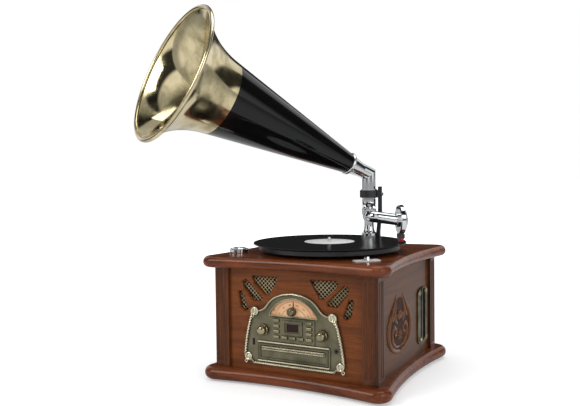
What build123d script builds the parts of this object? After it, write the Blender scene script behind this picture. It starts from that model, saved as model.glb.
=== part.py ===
from build123d import *
import math
import os

# Gramophone-style record player: wooden cabinet, turntable, tonearm with soundbox, horn on a column,
# bronze fascia with dial, knobs, buttons and disc tray, and a cassette slot in the right side.
# Millimetres. The origin is the centre of the cabinet on the floor, +X to the right seen from the
# front, -Y towards the front, +Z up.

# Fits
running_fit = 0.05
button_gap = 0.3
slide_gap = 0.5

# Cabinet
foot_height = 3.0
foot_radius = 11.0
foot_inset = 138.0
base_thickness = 23.0
base_nose = 11.0
body_height = 192.0
body_half = 166.5
post_size = 30.0
post_edge = 1.5
panel_thickness = 9.0
panel_recess = 6.0
panel_tongue = 4.0
top_thickness = 21.0
top_nose = 10.0
board_half = 197.5
edge_scoop = 22.0
corner_radius = 27.0
flute_radius = 3.0
flute_depth = 1.8
flute_pitch = 8.0
flute_margin = 12.0

# Speaker windows, right-hand half, as (x, drop below the deck board)
window_large = ((32, 15), (90, 14), (84, 28), (61, 48), (50, 47))
window_middle = ((101, 21), (110, 26), (107, 37), (86, 61), (67, 60), (66, 54))
window_outer = ((109, 45), (119, 45), (114, 74), (104, 82), (97, 78))
window_round = 2.5
window_rout = 2.0
mesh_thickness = 1.0
mesh_inner = 26.0
mesh_outer = 125.0
mesh_low = 130.0
mesh_drop = 8.0
speaker_x = 78.0
speaker_gap_low = 4.0
speaker_gap_high = 9.0
speaker_depth = 34.0
basket_lip = 4.0
magnet_radius = 26.0
magnet_length = 14.0
cone_throat = 9.0
cone_flat = 8.0

# Fascia
fascia_thickness = 3.0
fascia_rim = 3.0
fascia_rim_height = 2.2
fascia_top = 177.5
fascia_bottom = 40.0
crown_half = 38.0
crown_drop = 9.5
shoulder = ((47, 160.8), (54, 152.2))
shoulder_hollow = ((61.5, 144.8), (71.5, 141.5))
scroll_high = ((71.5, 141.5), (84, 146), (87.5, 133))
fascia_side = (97, 98)
scroll_low = ((102.5, 60), (98.5, 47), (87, 45.5))
fascia_corner_x = 83.0
block_half = 44.5
block_low = 86.5
block_high = 130.5
block_relief = 1.4
display_z = 113.5
display_width = 24.0
display_height = 14.0
display_frame = 4.0
dial_radius = 53.0
dial_centre_z = 113.0
dial_base_z = 134.0
dial_ledge = 2.0
dial_glass = 1.2
tuner_z = 144.0
knob_x = 60.5
knob_z = 105.5
knob_radius = 9.8
knob_length = 15.0
tuner_radius = 8.3
tuner_length = 12.0
shaft_radius = 3.0
knob_lift = 1.2
pointer_length = 18.0
pointer_width = 1.2
pointer_thickness = 0.8
button_width = 12.0
button_height = 5.6
button_column_x = 33.5
button_rows = (125.0, 115.0, 105.0, 94.5)
button_bottom_x = (-16.5, 0.0, 16.5)
button_bottom_z = 94.5
button_proud = 2.6
button_flange = 1.2
button_travel = 1.0
button_stem = 4.0
switch_height = 2.0
seat_gap = 0.1

# Disc tray and drive
tray_half = 72.0
tray_low = 49.5
tray_high = 81.0
tray_front = 4.0
tray_border = 3.0
tray_plate_half = 65.0
tray_plate_low = 52.0
tray_plate_thickness = 6.0
tray_plate_length = 138.0
disc_radius = 60.5
disc_recess = 1.6
disc_centre = 72.0
tray_slot = 32.0
drive_wall = 1.5
drive_high = 84.0
drive_length = 152.0
hub_radius = 7.5
bar_low = 67.5
bar_high = 75.0

# Control board behind the fascia
board_gap = 5.5
board_thickness = 1.6
control_half = 87.0
control_low = 88.0
control_high = 129.0
tuner_tab_half = 13.0
tuner_tab_high = 153.0
standoff_radius = 3.0
control_pot_radius = 8.0
control_pot_height = 7.0
standoff_inset = 4.0
module_margin = 3.0

# Headphone socket and remote sensor
jack_x = 86.5
jack_z = 80.0
jack_bore = 1.8
jack_radius = 4.0
jack_length = 16.0
sensor_x = -83.0
sensor_z = 81.0
sensor_width = 4.5
sensor_height = 13.0

# Cassette side
bezel_y = 94.0
bezel_z = 103.0
bezel_width = 60.0
bezel_height = 116.0
bezel_thickness = 2.6
bezel_cap = 8.0
slot_frame = 5.0
slot_y = 98.0
slot_width = 16.0
slot_z = 106.0
slot_height = 105.0
deck_wall = 1.5
deck_depth = 68.0
deck_flange = 5.5
deck_flange_thickness = 2.0
deck_motor_radius = 15.0
deck_motor_length = 18.0
deck_motor_inset = 36.0
key_y = 76.0
key_z = 57.0
key_radius = 4.5
key_proud = 3.5

# Back and inside
vent_x = -40.0
vent_z = 150.0
vent_length = 110.0
vent_width = 5.0
vent_pitch = 11.0
vent_count = 6
socket_x = 90.0
socket_z = 70.0
socket_plate_width = 44.0
socket_plate_height = 24.0
socket_plate_thickness = 2.0
socket_pitch = 18.0
socket_radius = 4.15
socket_pin_radius = 1.8
socket_length = 9.0
gland_x = 124.0
gland_z = 52.0
gland_radius = 7.0
gland_bore = 3.3
gland_length = 15.0
screw_inset = 10.0
screw_radius = 3.6
screw_rise = 1.8
transformer_x = -110.0
transformer_y = -40.0
core_length = 54.0
core_width = 22.0
core_height = 46.0
core_flange = 9.0
bobbin_length = 36.0
bobbin_width = 42.0
bobbin_height = 28.0
sheet_metal = 2.0
main_board_x = -60.0
main_board_y = 90.0
main_board_length = 122.0
main_board_width = 72.0
board_post_radius = 3.0
board_post_height = 6.0
board_post_inset = 5.0
capacitor_radius = 8.0
capacitor_height = 25.0
capacitor_x = 30.0
sink_x = 25.0
sink_y = 20.0
sink_depth = 16.0
sink_height = 30.0
fin_count = 6
fin_pitch = 8.0
fin_width = 2.0

# Turntable
disc_x = 8.5
disc_y = -20.0
record_radius = 150.5
record_thickness = 2.2
label_radius = 50.0
label_relief = 0.2
mat_radius = 136.0
mat_thickness = 1.8
platter_radius = 139.0
platter_height = 10.5
platter_plate = 4.0
platter_gap = 5.5
platter_hub = 22.0
hub_drop = 2.0
rim_wall = 5.0
rim_round = 1.5
spindle_radius = 3.57
spindle_shaft = 3.2
spindle_rise = 9.0
bearing_radius = 9.0
bearing_depth = 30.0
bearing_flange = 14.0
belt_ring_radius = 68.0
belt_ring_wall = 3.0
belt_width = 5.0
belt_thickness = 0.8
belt_gap = 0.3
pulley_radius = 6.0
motor_x = -61.0
motor_y = 49.0
motor_radius = 18.0
motor_length = 24.0
motor_shaft = 1.0
motor_lug_width = 14.0
motor_bore = 8.0
pulley_flange = 1.2
adapter_x = -152.0
adapter_y = -100.0
adapter_radius = 19.0
adapter_height = 9.5
plate_x = 131.0
plate_y = -128.0
plate_turn = 45.0
plate_length = 48.0
plate_depth = 22.0
plate_thickness = 1.6
lever_slot = 22.0
lever_width = 3.6
lever_depth = 6.0

# Column, tonearm and soundbox; each rise is a height above the deck
column_x = 26.0
column_y = 148.0
pedestal_foot = 17.5
pedestal_drum = 16.5
pedestal_neck = 10.5
drum_top_rise = 23.0
pedestal_top_rise = 56.5
tube_radius = 15.0
arm_rise = 72.0
arm_heading = -67.85
arm_length = 186.7
arm_bend = 19.0
arm_elbow_reach = 30.0
arm_rear_radius = 13.0
arm_front_radius = 11.5
arm_joint_gap = 0.4
swivel_rise = 97.0
boss_radius = 11.0
pin_radius = 5.0
pin_length = 20.0
crook_heading = 33.2
crook_length = 54.7
crook_drop = 7.5
crook_radius = 11.0
crook_bend = 12.5
crook_stub = 17.0
collar_radius = 14.0
spigot_radius = 7.0
spigot_length = 14.0
soundbox_radius = 28.5
soundbox_thickness = 11.0
soundbox_boss = 14.0
dome_height = 7.0
cartridge_width = 12.0
cartridge_length = 17.0
needle_clearance = 0.8
stylus_height = 6.5

# Horn and its bracket; each rise is a height above the deck
ring_low_rise = 100.0
ring_high_rise = 116.0
ring_wall = 5.0
bar_offset = 24.5
bar_heading = 12.0
bar_width = 12.0
bar_thickness = 8.0
bar_top_rise = 124.0
bar_bend_high_rise = 65.0
bar_bend_low_rise = 27.0
collar_low_rise = 2.0
collar_high_rise = 13.0
collar_wall = 4.5
horn_rise = 151.0
horn_heading = 30.3
horn_elevation = 22.9
tube_wall = 1.5
neck_end = 54.0
neck_end_radius = 19.5
ring_end = 62.0
cone_start_radius = 21.8
cone_end = 386.0
cone_end_radius = 74.5
bell_length = 490.0
bell_radius = 134.0
bead_radius = 4.0
horn_wall = 1.4
stop_ring = 2.6

# Heights and faces worked out from the sizes above
floor_z = foot_height + base_thickness
ceiling_z = floor_z + body_height
deck_z = ceiling_z + top_thickness
post_centre = body_half - post_size / 2
panel_face = body_half - panel_recess
panel_back = panel_face - panel_thickness
panel_half = body_half - post_size + panel_tongue
fascia_face = panel_face + fascia_thickness
control_front = panel_back - board_gap
control_back = control_front - board_thickness
platter_low = deck_z + platter_gap
platter_top = platter_low + platter_height
mat_top = platter_top + mat_thickness
record_top = mat_top + record_thickness
speaker_radius = (ceiling_z - speaker_gap_high - control_high - speaker_gap_low) / 2
speaker_z = control_high + speaker_gap_low + speaker_radius
drum_top = deck_z + drum_top_rise
pedestal_top = deck_z + pedestal_top_rise
arm_z = deck_z + arm_rise
swivel_z = deck_z + swivel_rise
ring_low = deck_z + ring_low_rise
ring_high = deck_z + ring_high_rise
bar_top = deck_z + bar_top_rise
bar_bend_high = deck_z + bar_bend_high_rise
bar_bend_low = deck_z + bar_bend_low_rise
collar_low = deck_z + collar_low_rise
collar_high = deck_z + collar_high_rise
horn_z = deck_z + horn_rise
arm_direction = Vector(math.cos(math.radians(arm_heading)), math.sin(math.radians(arm_heading)), 0)
column_foot = Vector(column_x, column_y, 0)
elbow_point = column_foot + arm_direction * arm_length + Vector(0, 0, arm_z)
crook_direction = Vector(math.cos(math.radians(crook_heading)), math.sin(math.radians(crook_heading)), 0)
soundbox_point = elbow_point + crook_direction * crook_length - Vector(0, 0, crook_drop)
horn_point = column_foot + Vector(0, 0, horn_z)
horn_flat = math.cos(math.radians(horn_elevation))
horn_direction = Vector(
    -math.sin(math.radians(horn_heading)) * horn_flat,
    -math.cos(math.radians(horn_heading)) * horn_flat,
    math.sin(math.radians(horn_elevation)),
)
os.makedirs("parts", exist_ok=True)


def board_outline():
    """The shared outline of the base and the deck: scooped sides and rounded corners."""
    corners = [(-board_half, -board_half), (board_half, -board_half)]
    corners += [(board_half, board_half), (-board_half, board_half)]
    with BuildSketch() as outline:
        with BuildLine():
            for start, end in zip(corners, corners[1:] + corners[:1]):
                middle = (Vector(*start) + Vector(*end)) * 0.5
                inward = middle * (1 - edge_scoop / middle.length)
                ThreePointArc(start, inward, end)
        make_face()
        fillet(outline.vertices(), corner_radius)
    return outline.sketch


def axial_plane(origin, direction):
    """A plane whose x runs along the direction and whose y points as much upwards as it can."""
    side = direction.cross(Vector(0, 0, 1)).normalized()
    return Plane(origin=origin, x_dir=direction, z_dir=side)


# Base and deck boards
with BuildPart() as base_board:
    with BuildSketch(Plane.XY.offset(foot_height)):
        add(board_outline())
    extrude(amount=base_thickness)
    fillet(base_board.faces().sort_by(Axis.Z)[-1].edges(), base_nose)
    fillet(base_board.faces().sort_by(Axis.Z)[0].edges(), base_nose)
base_board.part.label = "base_board"

with BuildPart() as feet:
    with BuildSketch():
        with GridLocations(2 * foot_inset, 2 * foot_inset, 2, 2):
            Circle(foot_radius)
    extrude(amount=foot_height)
feet.part.label = "rubber_feet"

with BuildPart() as top_board:
    with BuildSketch(Plane.XY.offset(ceiling_z)):
        add(board_outline())
    extrude(amount=top_thickness)
    fillet(top_board.faces().sort_by(Axis.Z)[-1].edges(), top_nose)
    fillet(top_board.faces().sort_by(Axis.Z)[0].edges(), top_nose)
    with BuildSketch(Plane.XY.offset(ceiling_z)):
        with Locations((disc_x, disc_y)):
            Circle(bearing_radius)
        with Locations((motor_x, motor_y)):
            Circle(pulley_radius + 2)
    extrude(amount=top_thickness, mode=Mode.SUBTRACT)
    with BuildSketch(Plane.XY.offset(deck_z)):
        with Locations(Location((plate_x, plate_y), plate_turn)):
            Rectangle(lever_slot, lever_width + 2)
    extrude(amount=-lever_depth, mode=Mode.SUBTRACT)
top_board.part.label = "top_board"

# Corner posts with stopped flutes on both outer faces and grooves for the panels
flute_out = flute_radius - flute_depth
flute_low = floor_z + flute_margin
flute_high = ceiling_z - flute_margin
with BuildPart() as corner_posts:
    with BuildSketch(Plane.XY.offset(floor_z)):
        with Locations((post_centre, -post_centre)):
            Rectangle(post_size, post_size)
    extrude(amount=body_height)
    outer_edge = corner_posts.edges().filter_by(Axis.Z).sort_by(Axis((0, 0, 0), (1, -1, 0)))[-1]
    fillet(outer_edge, post_edge)
    with BuildSketch(Plane.XY.offset(floor_z)):
        with Locations((panel_half - panel_tongue / 2, -panel_face + panel_thickness / 2)):
            Rectangle(panel_tongue, panel_thickness)
        with Locations((panel_face - panel_thickness / 2, -panel_half + panel_tongue / 2)):
            Rectangle(panel_thickness, panel_tongue)
    extrude(amount=body_height, mode=Mode.SUBTRACT)
    for step in (-1, 0, 1):
        across = post_centre + step * flute_pitch
        outside = body_half + flute_out
        for x, y in ((across, -outside), (outside, -across)):
            with Locations((x, y, (flute_low + flute_high) / 2)):
                Cylinder(flute_radius, flute_high - flute_low, mode=Mode.SUBTRACT)
            with Locations((x, y, flute_low), (x, y, flute_high)):
                Sphere(flute_radius, mode=Mode.SUBTRACT)
    mirror(about=Plane.YZ)
    mirror(about=Plane.XZ)
corner_posts.part.label = "corner_posts"


def speaker_windows():
    """All six fanned openings, drawn in the plane of the front panel."""
    with BuildSketch() as windows:
        for points in (window_large, window_middle, window_outer):
            with BuildLine():
                Polyline(*[(x, ceiling_z - drop) for x, drop in points], close=True)
            make_face()
        mirror(about=Plane.YZ)
        fillet(windows.vertices(), window_round)
    return windows.sketch


def dial_segment(grow=0.0):
    """The arched window of the radio dial, flat side down."""
    radius = dial_radius + grow
    base = dial_base_z - grow - dial_centre_z
    half = math.sqrt(radius ** 2 - base ** 2)
    with BuildSketch() as segment:
        with BuildLine():
            ThreePointArc(
                (-half, dial_centre_z + base),
                (0, dial_centre_z + radius),
                (half, dial_centre_z + base),
            )
            Line((half, dial_centre_z + base), (-half, dial_centre_z + base))
        make_face()
    return segment.sketch


# Front panel with routed speaker windows and the opening behind the fascia
opening_half = tray_half + 7
with BuildPart() as front_panel:
    with BuildSketch(Plane.XZ.offset(panel_back)):
        with Locations((0, floor_z + body_height / 2)):
            Rectangle(2 * panel_half, body_height)
        add(speaker_windows(), mode=Mode.SUBTRACT)
    extrude(amount=panel_thickness)
    front_face = front_panel.faces().sort_by(Axis.Y)[0]
    routed = [edge for wire in front_face.inner_wires() for edge in wire.edges()]
    chamfer(routed, window_rout)
    with BuildSketch(Plane.XZ.offset(panel_back)):
        with Locations((0, (tray_low + block_high) / 2)):
            Rectangle(2 * opening_half, block_high - tray_low + 6)
        add(dial_segment(dial_ledge + slide_gap))
        with Locations((jack_x, jack_z)):
            Circle(jack_radius + slide_gap)
    extrude(amount=panel_thickness, mode=Mode.SUBTRACT)
front_panel.part.label = "front_panel"

# Gilt mesh sheets behind the windows
mesh_high = ceiling_z - mesh_drop
with BuildPart() as speaker_meshes:
    with BuildSketch(Plane.XZ.offset(panel_back - mesh_thickness)):
        for side in (-1, 1):
            with Locations((side * (mesh_inner + mesh_outer) / 2, (mesh_low + mesh_high) / 2)):
                Rectangle(mesh_outer - mesh_inner, mesh_high - mesh_low)
    extrude(amount=mesh_thickness)
speaker_meshes.part.label = "speaker_meshes"

# Loudspeakers: basket, cone and magnet behind each mesh
speaker_front = panel_back - mesh_thickness
with BuildPart() as speakers:
    for side in (-1, 1):
        speaker_origin = Vector(side * speaker_x, -speaker_front, speaker_z)
        with BuildSketch(axial_plane(speaker_origin, Vector(0, 1, 0))):
            with BuildLine():
                Polyline(
                    (speaker_depth, 0),
                    (cone_flat, 0),
                    (cone_flat, cone_throat),
                    (1.5 * cone_flat, 1.3 * cone_throat),
                    (basket_lip * 0.75, speaker_radius - 1.5 * basket_lip),
                    (0, speaker_radius - basket_lip),
                    (0, speaker_radius),
                    (basket_lip * 0.6, speaker_radius),
                    (basket_lip * 0.6, speaker_radius - basket_lip),
                    (speaker_depth - magnet_length, magnet_radius * 0.8),
                    (speaker_depth - magnet_length, magnet_radius),
                    (speaker_depth, magnet_radius),
                    close=True,
                )
            make_face()
        revolve(axis=Axis(speaker_origin, (0, 1, 0)))
speakers.part.label = "speakers"

# Side panels: the right one has the cassette cut-outs
with BuildPart() as left_panel:
    with BuildSketch(Plane.XY.offset(floor_z)):
        with Locations((-panel_face + panel_thickness / 2, 0)):
            Rectangle(panel_thickness, 2 * panel_half)
    extrude(amount=body_height)
left_panel.part.label = "left_panel"

with BuildPart() as right_panel:
    with BuildSketch(Plane.XY.offset(floor_z)):
        with Locations((panel_face - panel_thickness / 2, 0)):
            Rectangle(panel_thickness, 2 * panel_half)
    extrude(amount=body_height)
    with BuildSketch(Plane.YZ.offset(panel_back)):
        with Locations((slot_y, slot_z)):
            Rectangle(slot_width + 2 * deck_wall, slot_height + 2 * deck_wall)
        with Locations((key_y, key_z)):
            Circle(key_radius + slide_gap)
    extrude(amount=panel_thickness, mode=Mode.SUBTRACT)
right_panel.part.label = "right_panel"

# Back panel with vent slots and holes for the socket plate and the cord gland
with BuildPart() as back_panel:
    with BuildSketch(Plane.XZ.offset(-panel_face)):
        with Locations((0, floor_z + body_height / 2)):
            Rectangle(2 * panel_half, body_height)
        with Locations((vent_x, vent_z)):
            with GridLocations(0, vent_pitch, 1, vent_count):
                SlotOverall(vent_length, vent_width, mode=Mode.SUBTRACT)
        with Locations((socket_x, socket_z)):
            Rectangle(socket_plate_width - 10, socket_plate_height - 8, mode=Mode.SUBTRACT)
        with Locations((gland_x, gland_z)):
            Circle(gland_radius, mode=Mode.SUBTRACT)
    extrude(amount=panel_thickness)
back_panel.part.label = "back_panel"

with BuildPart() as socket_plate:
    with BuildSketch(Plane.XZ.offset(-panel_face - socket_plate_thickness)):
        with Locations((socket_x, socket_z)):
            RectangleRounded(socket_plate_width, socket_plate_height, 3)
    extrude(amount=socket_plate_thickness)
    with BuildSketch(Plane.XZ.offset(-panel_face - socket_plate_thickness - socket_length)):
        with Locations((socket_x, socket_z)):
            with GridLocations(socket_pitch, 0, 2, 1):
                Circle(socket_radius)
                Circle(socket_pin_radius, mode=Mode.SUBTRACT)
    extrude(amount=socket_length)
socket_plate.part.label = "socket_plate"

with BuildPart() as cord_gland:
    with BuildSketch(Plane.XZ.offset(-panel_back)):
        with Locations((gland_x, gland_z)):
            Circle(gland_radius)
            Circle(gland_bore, mode=Mode.SUBTRACT)
    extrude(amount=-gland_length)
    with BuildSketch(Plane.XZ.offset(-panel_face)):
        with Locations((gland_x, gland_z)):
            Circle(gland_radius + 2.5)
            Circle(gland_bore, mode=Mode.SUBTRACT)
    extrude(amount=-2)
cord_gland.part.label = "cord_gland"

with BuildPart() as back_screws:
    screw_spread = panel_half - panel_tongue - screw_inset
    with BuildSketch(Plane.XZ.offset(-panel_face)):
        with Locations((0, floor_z + body_height / 2)):
            with GridLocations(screw_spread, body_height - 2 * screw_inset, 3, 2):
                Circle(screw_radius)
    extrude(amount=-screw_rise, taper=25)
back_screws.part.label = "back_screws"


def fascia_outline():
    """Bell-shaped outline: crown, falling shoulders, two scrolls each side and a flat foot."""
    crown_radius = (crown_half ** 2 + crown_drop ** 2) / (2 * crown_drop)
    crown_angle = math.degrees(math.asin(crown_half / crown_radius))
    crown_end = (crown_half, fascia_top - crown_drop)
    with BuildSketch() as outline:
        with BuildLine():
            CenterArc((0, fascia_top - crown_radius), crown_radius, 90 - crown_angle, crown_angle)
            ThreePointArc(crown_end, *shoulder)
            ThreePointArc(shoulder[1], *shoulder_hollow)
            ThreePointArc(*scroll_high)
            ThreePointArc(scroll_high[2], fascia_side, scroll_low[0])
            ThreePointArc(*scroll_low)
            Line(scroll_low[2], (fascia_corner_x, fascia_bottom))
            Line((fascia_corner_x, fascia_bottom), (0, fascia_bottom))
            Line((0, fascia_bottom), (0, fascia_top))
        make_face()
        mirror(about=Plane.YZ)
    return outline.sketch


def button_places():
    """Name and place (x, z) of each push button."""
    places = []
    for number, z in enumerate(button_rows, 1):
        places.append((f"button_left_{number}", -button_column_x, z))
        places.append((f"button_right_{number}", button_column_x, z))
    for number, x in enumerate(button_bottom_x, 1):
        places.append((f"button_bottom_{number}", x, button_bottom_z))
    return places


# Fascia: cast plate with raised rim, display block and tray border
with BuildPart() as fascia_plate:
    with BuildSketch(Plane.XZ.offset(panel_face)):
        add(fascia_outline())
    extrude(amount=fascia_thickness)
    with BuildSketch(Plane.XZ.offset(fascia_face)):
        add(fascia_outline())
        offset(fascia_outline(), amount=-fascia_rim, mode=Mode.SUBTRACT)
    extrude(amount=fascia_rim_height)
    with BuildSketch(Plane.XZ.offset(fascia_face)):
        with Locations((0, (block_low + block_high) / 2)):
            Rectangle(2 * block_half, block_high - block_low)
        with Locations((0, (tray_low + tray_high) / 2)):
            Rectangle(2 * tray_half + 2 * tray_border, tray_high - tray_low + 2 * tray_border)
    extrude(amount=block_relief)
    with BuildSketch(Plane.XZ.offset(fascia_face + block_relief)):
        with Locations((0, display_z)):
            Rectangle(display_width + 4 * display_frame, display_height + 3 * display_frame)
            Rectangle(
                display_width + 2 * display_frame,
                display_height + display_frame,
                mode=Mode.SUBTRACT,
            )
    extrude(amount=block_relief)
    with BuildSketch(Plane.XZ.offset(panel_face)):
        add(dial_segment())
        with Locations((0, display_z)):
            Rectangle(display_width, display_height)
        with Locations((0, (tray_low + tray_high) / 2)):
            Rectangle(2 * tray_half + 2 * slide_gap, tray_high - tray_low + 2 * slide_gap)
        with Locations(*[(x, z) for _, x, z in button_places()]):
            Rectangle(button_width + 2 * button_gap, button_height + 2 * button_gap)
        with Locations((-knob_x, knob_z), (knob_x, knob_z)):
            Circle(shaft_radius + button_gap)
        with Locations((jack_x, jack_z)):
            Circle(jack_radius)
        with Locations((sensor_x, sensor_z)):
            SlotOverall(sensor_height, sensor_width, rotation=90)
    extrude(amount=fascia_thickness + 3 * block_relief, mode=Mode.SUBTRACT)
fascia_plate.part.label = "fascia_plate"

with BuildPart() as sensor_lens:
    with BuildSketch(Plane.XZ.offset(panel_face)):
        with Locations((sensor_x, sensor_z)):
            SlotOverall(sensor_height, sensor_width, rotation=90)
    extrude(amount=fascia_thickness + 0.6)
sensor_lens.part.label = "sensor_lens"

with BuildPart() as display_window:
    with BuildSketch(Plane.XZ.offset(panel_face)):
        with Locations((0, display_z)):
            Rectangle(display_width, display_height)
    extrude(amount=fascia_thickness)
display_window.part.label = "display_window"

# Radio dial: backing plate behind the fascia, pointer in the window, tuning knob in front
with BuildPart() as dial_face:
    with BuildSketch(Plane.XZ.offset(panel_face - dial_glass)):
        add(dial_segment(dial_ledge))
        with Locations((0, tuner_z)):
            Circle(shaft_radius + button_gap, mode=Mode.SUBTRACT)
    extrude(amount=dial_glass)
dial_face.part.label = "dial_face"

pointer_face = panel_face + button_gap
with BuildPart() as dial_pointer:
    with BuildSketch(Plane.XZ.offset(pointer_face)):
        with Locations((0, tuner_z)):
            Circle(shaft_radius + 2)
        with BuildLine():
            Polyline(
                (-pointer_width, tuner_z + shaft_radius),
                (pointer_width, tuner_z + shaft_radius),
                (pointer_width / 3, tuner_z + pointer_length),
                (-pointer_width / 3, tuner_z + pointer_length),
                close=True,
            )
        make_face()
        with Locations((0, tuner_z)):
            Circle(shaft_radius + running_fit, mode=Mode.SUBTRACT)
    extrude(amount=pointer_thickness)
dial_pointer.part.label = "dial_pointer"


def knob(x, z, radius, length, face):
    """A turned knob with a waisted skirt, a domed cap and its shaft."""
    with BuildPart() as turned:
        origin = Vector(x, -face, z)
        with BuildSketch(axial_plane(origin, Vector(0, -1, 0))):
            with BuildLine():
                Line((control_front + 2 - face, 0), (control_front + 2 - face, shaft_radius))
                Line((control_front + 2 - face, shaft_radius), (0, shaft_radius))
                Line((0, shaft_radius), (0, radius))
                Line((0, radius), (length * 0.2, radius))
                ThreePointArc(
                    (length * 0.2, radius),
                    (length * 0.32, radius * 0.86),
                    (length * 0.45, radius * 0.9),
                )
                Line((length * 0.45, radius * 0.9), (length * 0.8, radius * 0.84))
                ThreePointArc(
                    (length * 0.8, radius * 0.84),
                    (length * 0.94, radius * 0.66),
                    (length, radius * 0.3),
                )
                Line((length, radius * 0.3), (length, 0))
                Line((length, 0), (control_front + 2 - face, 0))
            make_face()
        revolve(axis=Axis(origin, (0, -1, 0)))
    return turned


knob_face = fascia_face + knob_lift
tuner_knob = knob(0, tuner_z, tuner_radius, tuner_length, knob_face)
tuner_knob.part.label = "tuner_knob"
volume_knob = knob(-knob_x, knob_z, knob_radius, knob_length, knob_face)
volume_knob.part.label = "volume_knob"
function_knob = knob(knob_x, knob_z, knob_radius, knob_length, knob_face)
function_knob.part.label = "function_knob"


def push_button(x, z):
    """A rounded key cap with a retaining flange behind the fascia and a stem to its switch."""
    with BuildPart() as button:
        with BuildSketch(Plane.XZ.offset(panel_face - seat_gap)):
            with Locations((x, z)):
                Rectangle(button_width, button_height)
        extrude(amount=seat_gap + fascia_thickness + block_relief + button_proud)
        fillet(button.faces().sort_by(Axis.Y)[0].edges(), 1.2)
        with BuildSketch(Plane.XZ.offset(panel_face - seat_gap)):
            with Locations((x, z)):
                Rectangle(button_width + 1.6, button_height + 1.6)
        extrude(amount=-button_flange)
        stem = panel_face - control_front - switch_height - button_travel - seat_gap
        with BuildSketch(Plane.XZ.offset(panel_face - seat_gap)):
            with Locations((x, z)):
                Rectangle(button_stem, button_stem - 1)
        extrude(amount=-stem + button_gap)
    return button


buttons = []
for name, x, z in button_places():
    key_cap = push_button(x, z)
    key_cap.part.label = name
    buttons.append(key_cap)

# Control board with switches, controls and the display module
with BuildPart() as control_board:
    with BuildSketch(Plane.XZ.offset(control_back)):
        with Locations((0, (control_low + control_high) / 2)):
            Rectangle(2 * control_half, control_high - control_low)
        with Locations((0, (control_high + tuner_tab_high) / 2)):
            Rectangle(2 * tuner_tab_half, tuner_tab_high - control_high)
    extrude(amount=board_thickness)
    with BuildSketch(Plane.XZ.offset(control_front)):
        with Locations(*[(x, z) for _, x, z in button_places()]):
            Rectangle(button_stem + 2, button_stem)
    extrude(amount=switch_height)
    with BuildSketch(Plane.XZ.offset(control_front)):
        with Locations((0, display_z)):
            Rectangle(display_width + 2 * module_margin, display_height - 1)
    extrude(amount=panel_face - control_front)
    with BuildSketch(Plane.XZ.offset(control_front)):
        with Locations((-knob_x, knob_z), (knob_x, knob_z), (0, tuner_z)):
            Circle(control_pot_radius)
            Circle(shaft_radius + running_fit, mode=Mode.SUBTRACT)
    extrude(amount=control_pot_height)
    standoff_x = control_half - standoff_inset
    with BuildSketch(Plane.XZ.offset(control_front)):
        with Locations((0, (control_low + control_high) / 2)):
            with GridLocations(2 * standoff_x, control_high - control_low - 2.5 * standoff_inset, 2, 2):
                Circle(standoff_radius)
    extrude(amount=panel_back - control_front)
control_board.part.label = "control_board"

with BuildPart() as headphone_jack:
    with BuildSketch(Plane.XZ.offset(fascia_face - jack_length)):
        with Locations((jack_x, jack_z)):
            Circle(jack_radius)
            Circle(jack_bore, mode=Mode.SUBTRACT)
    extrude(amount=jack_length + 0.8)
headphone_jack.part.label = "headphone_jack"

# Disc tray and its drive
tray_face = fascia_face + slide_gap
tray_plate_start = tray_face - tray_front
with BuildPart() as cd_tray:
    with BuildSketch(Plane.XZ.offset(tray_plate_start)):
        with Locations((0, (tray_low + tray_high) / 2)):
            Rectangle(2 * tray_half, tray_high - tray_low)
    extrude(amount=tray_front)
    with BuildSketch(Plane.XZ.offset(tray_face)):
        with Locations((0, (tray_low + tray_high) / 2)):
            Rectangle(2 * tray_half - 4, tray_high - tray_low - 4)
            Rectangle(2 * tray_half - 8, tray_high - tray_low - 8, mode=Mode.SUBTRACT)
        with Locations((0, (bar_low + bar_high) / 2)):
            SlotOverall(2 * tray_half - 12, bar_high - bar_low)
    extrude(amount=block_relief)
    with BuildSketch(Plane.XY.offset(tray_plate_low)):
        with Locations((0, -tray_plate_start + tray_plate_length / 2)):
            Rectangle(2 * tray_plate_half, tray_plate_length)
    extrude(amount=tray_plate_thickness)
    tray_top = tray_plate_low + tray_plate_thickness
    disc_place = (0, -tray_plate_start + disc_centre)
    with BuildSketch(Plane.XY.offset(tray_top)):
        with Locations(disc_place):
            Circle(disc_radius)
    extrude(amount=-disc_recess, mode=Mode.SUBTRACT)
    with BuildSketch(Plane.XY.offset(tray_plate_low)):
        with Locations(disc_place):
            Circle(tray_slot / 2)
        with Locations((0, disc_place[1] + tray_plate_length / 2)):
            Rectangle(tray_slot, tray_plate_length)
    extrude(amount=tray_plate_thickness, mode=Mode.SUBTRACT)
cd_tray.part.label = "cd_tray"

drive_half = tray_plate_half + slide_gap + drive_wall
drive_low = tray_plate_low - slide_gap - drive_wall
drive_front = panel_back
drive_back = drive_front - drive_length
side_height = drive_high - drive_wall - floor_z
with BuildPart() as cd_drive:
    with BuildSketch(Plane.XZ.offset(drive_back)):
        with Locations((0, floor_z + side_height / 2)):
            with GridLocations(2 * drive_half - drive_wall, 0, 2, 1):
                Rectangle(drive_wall, side_height)
        with Locations((0, drive_low + drive_wall / 2)):
            Rectangle(2 * drive_half, drive_wall)
    extrude(amount=drive_length)
    with BuildSketch(Plane.XZ.offset(drive_back)):
        with Locations((0, (drive_low + drive_high - drive_wall) / 2)):
            Rectangle(2 * drive_half, drive_high - drive_wall - drive_low)
    extrude(amount=drive_wall)
cd_drive.part.label = "cd_drive"

with BuildPart() as drive_lid:
    with BuildSketch(Plane.XY.offset(drive_high - drive_wall)):
        with Locations((0, -(drive_front + drive_back) / 2)):
            Rectangle(2 * drive_half, drive_length)
    extrude(amount=drive_wall)
drive_lid.part.label = "drive_lid"

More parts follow.
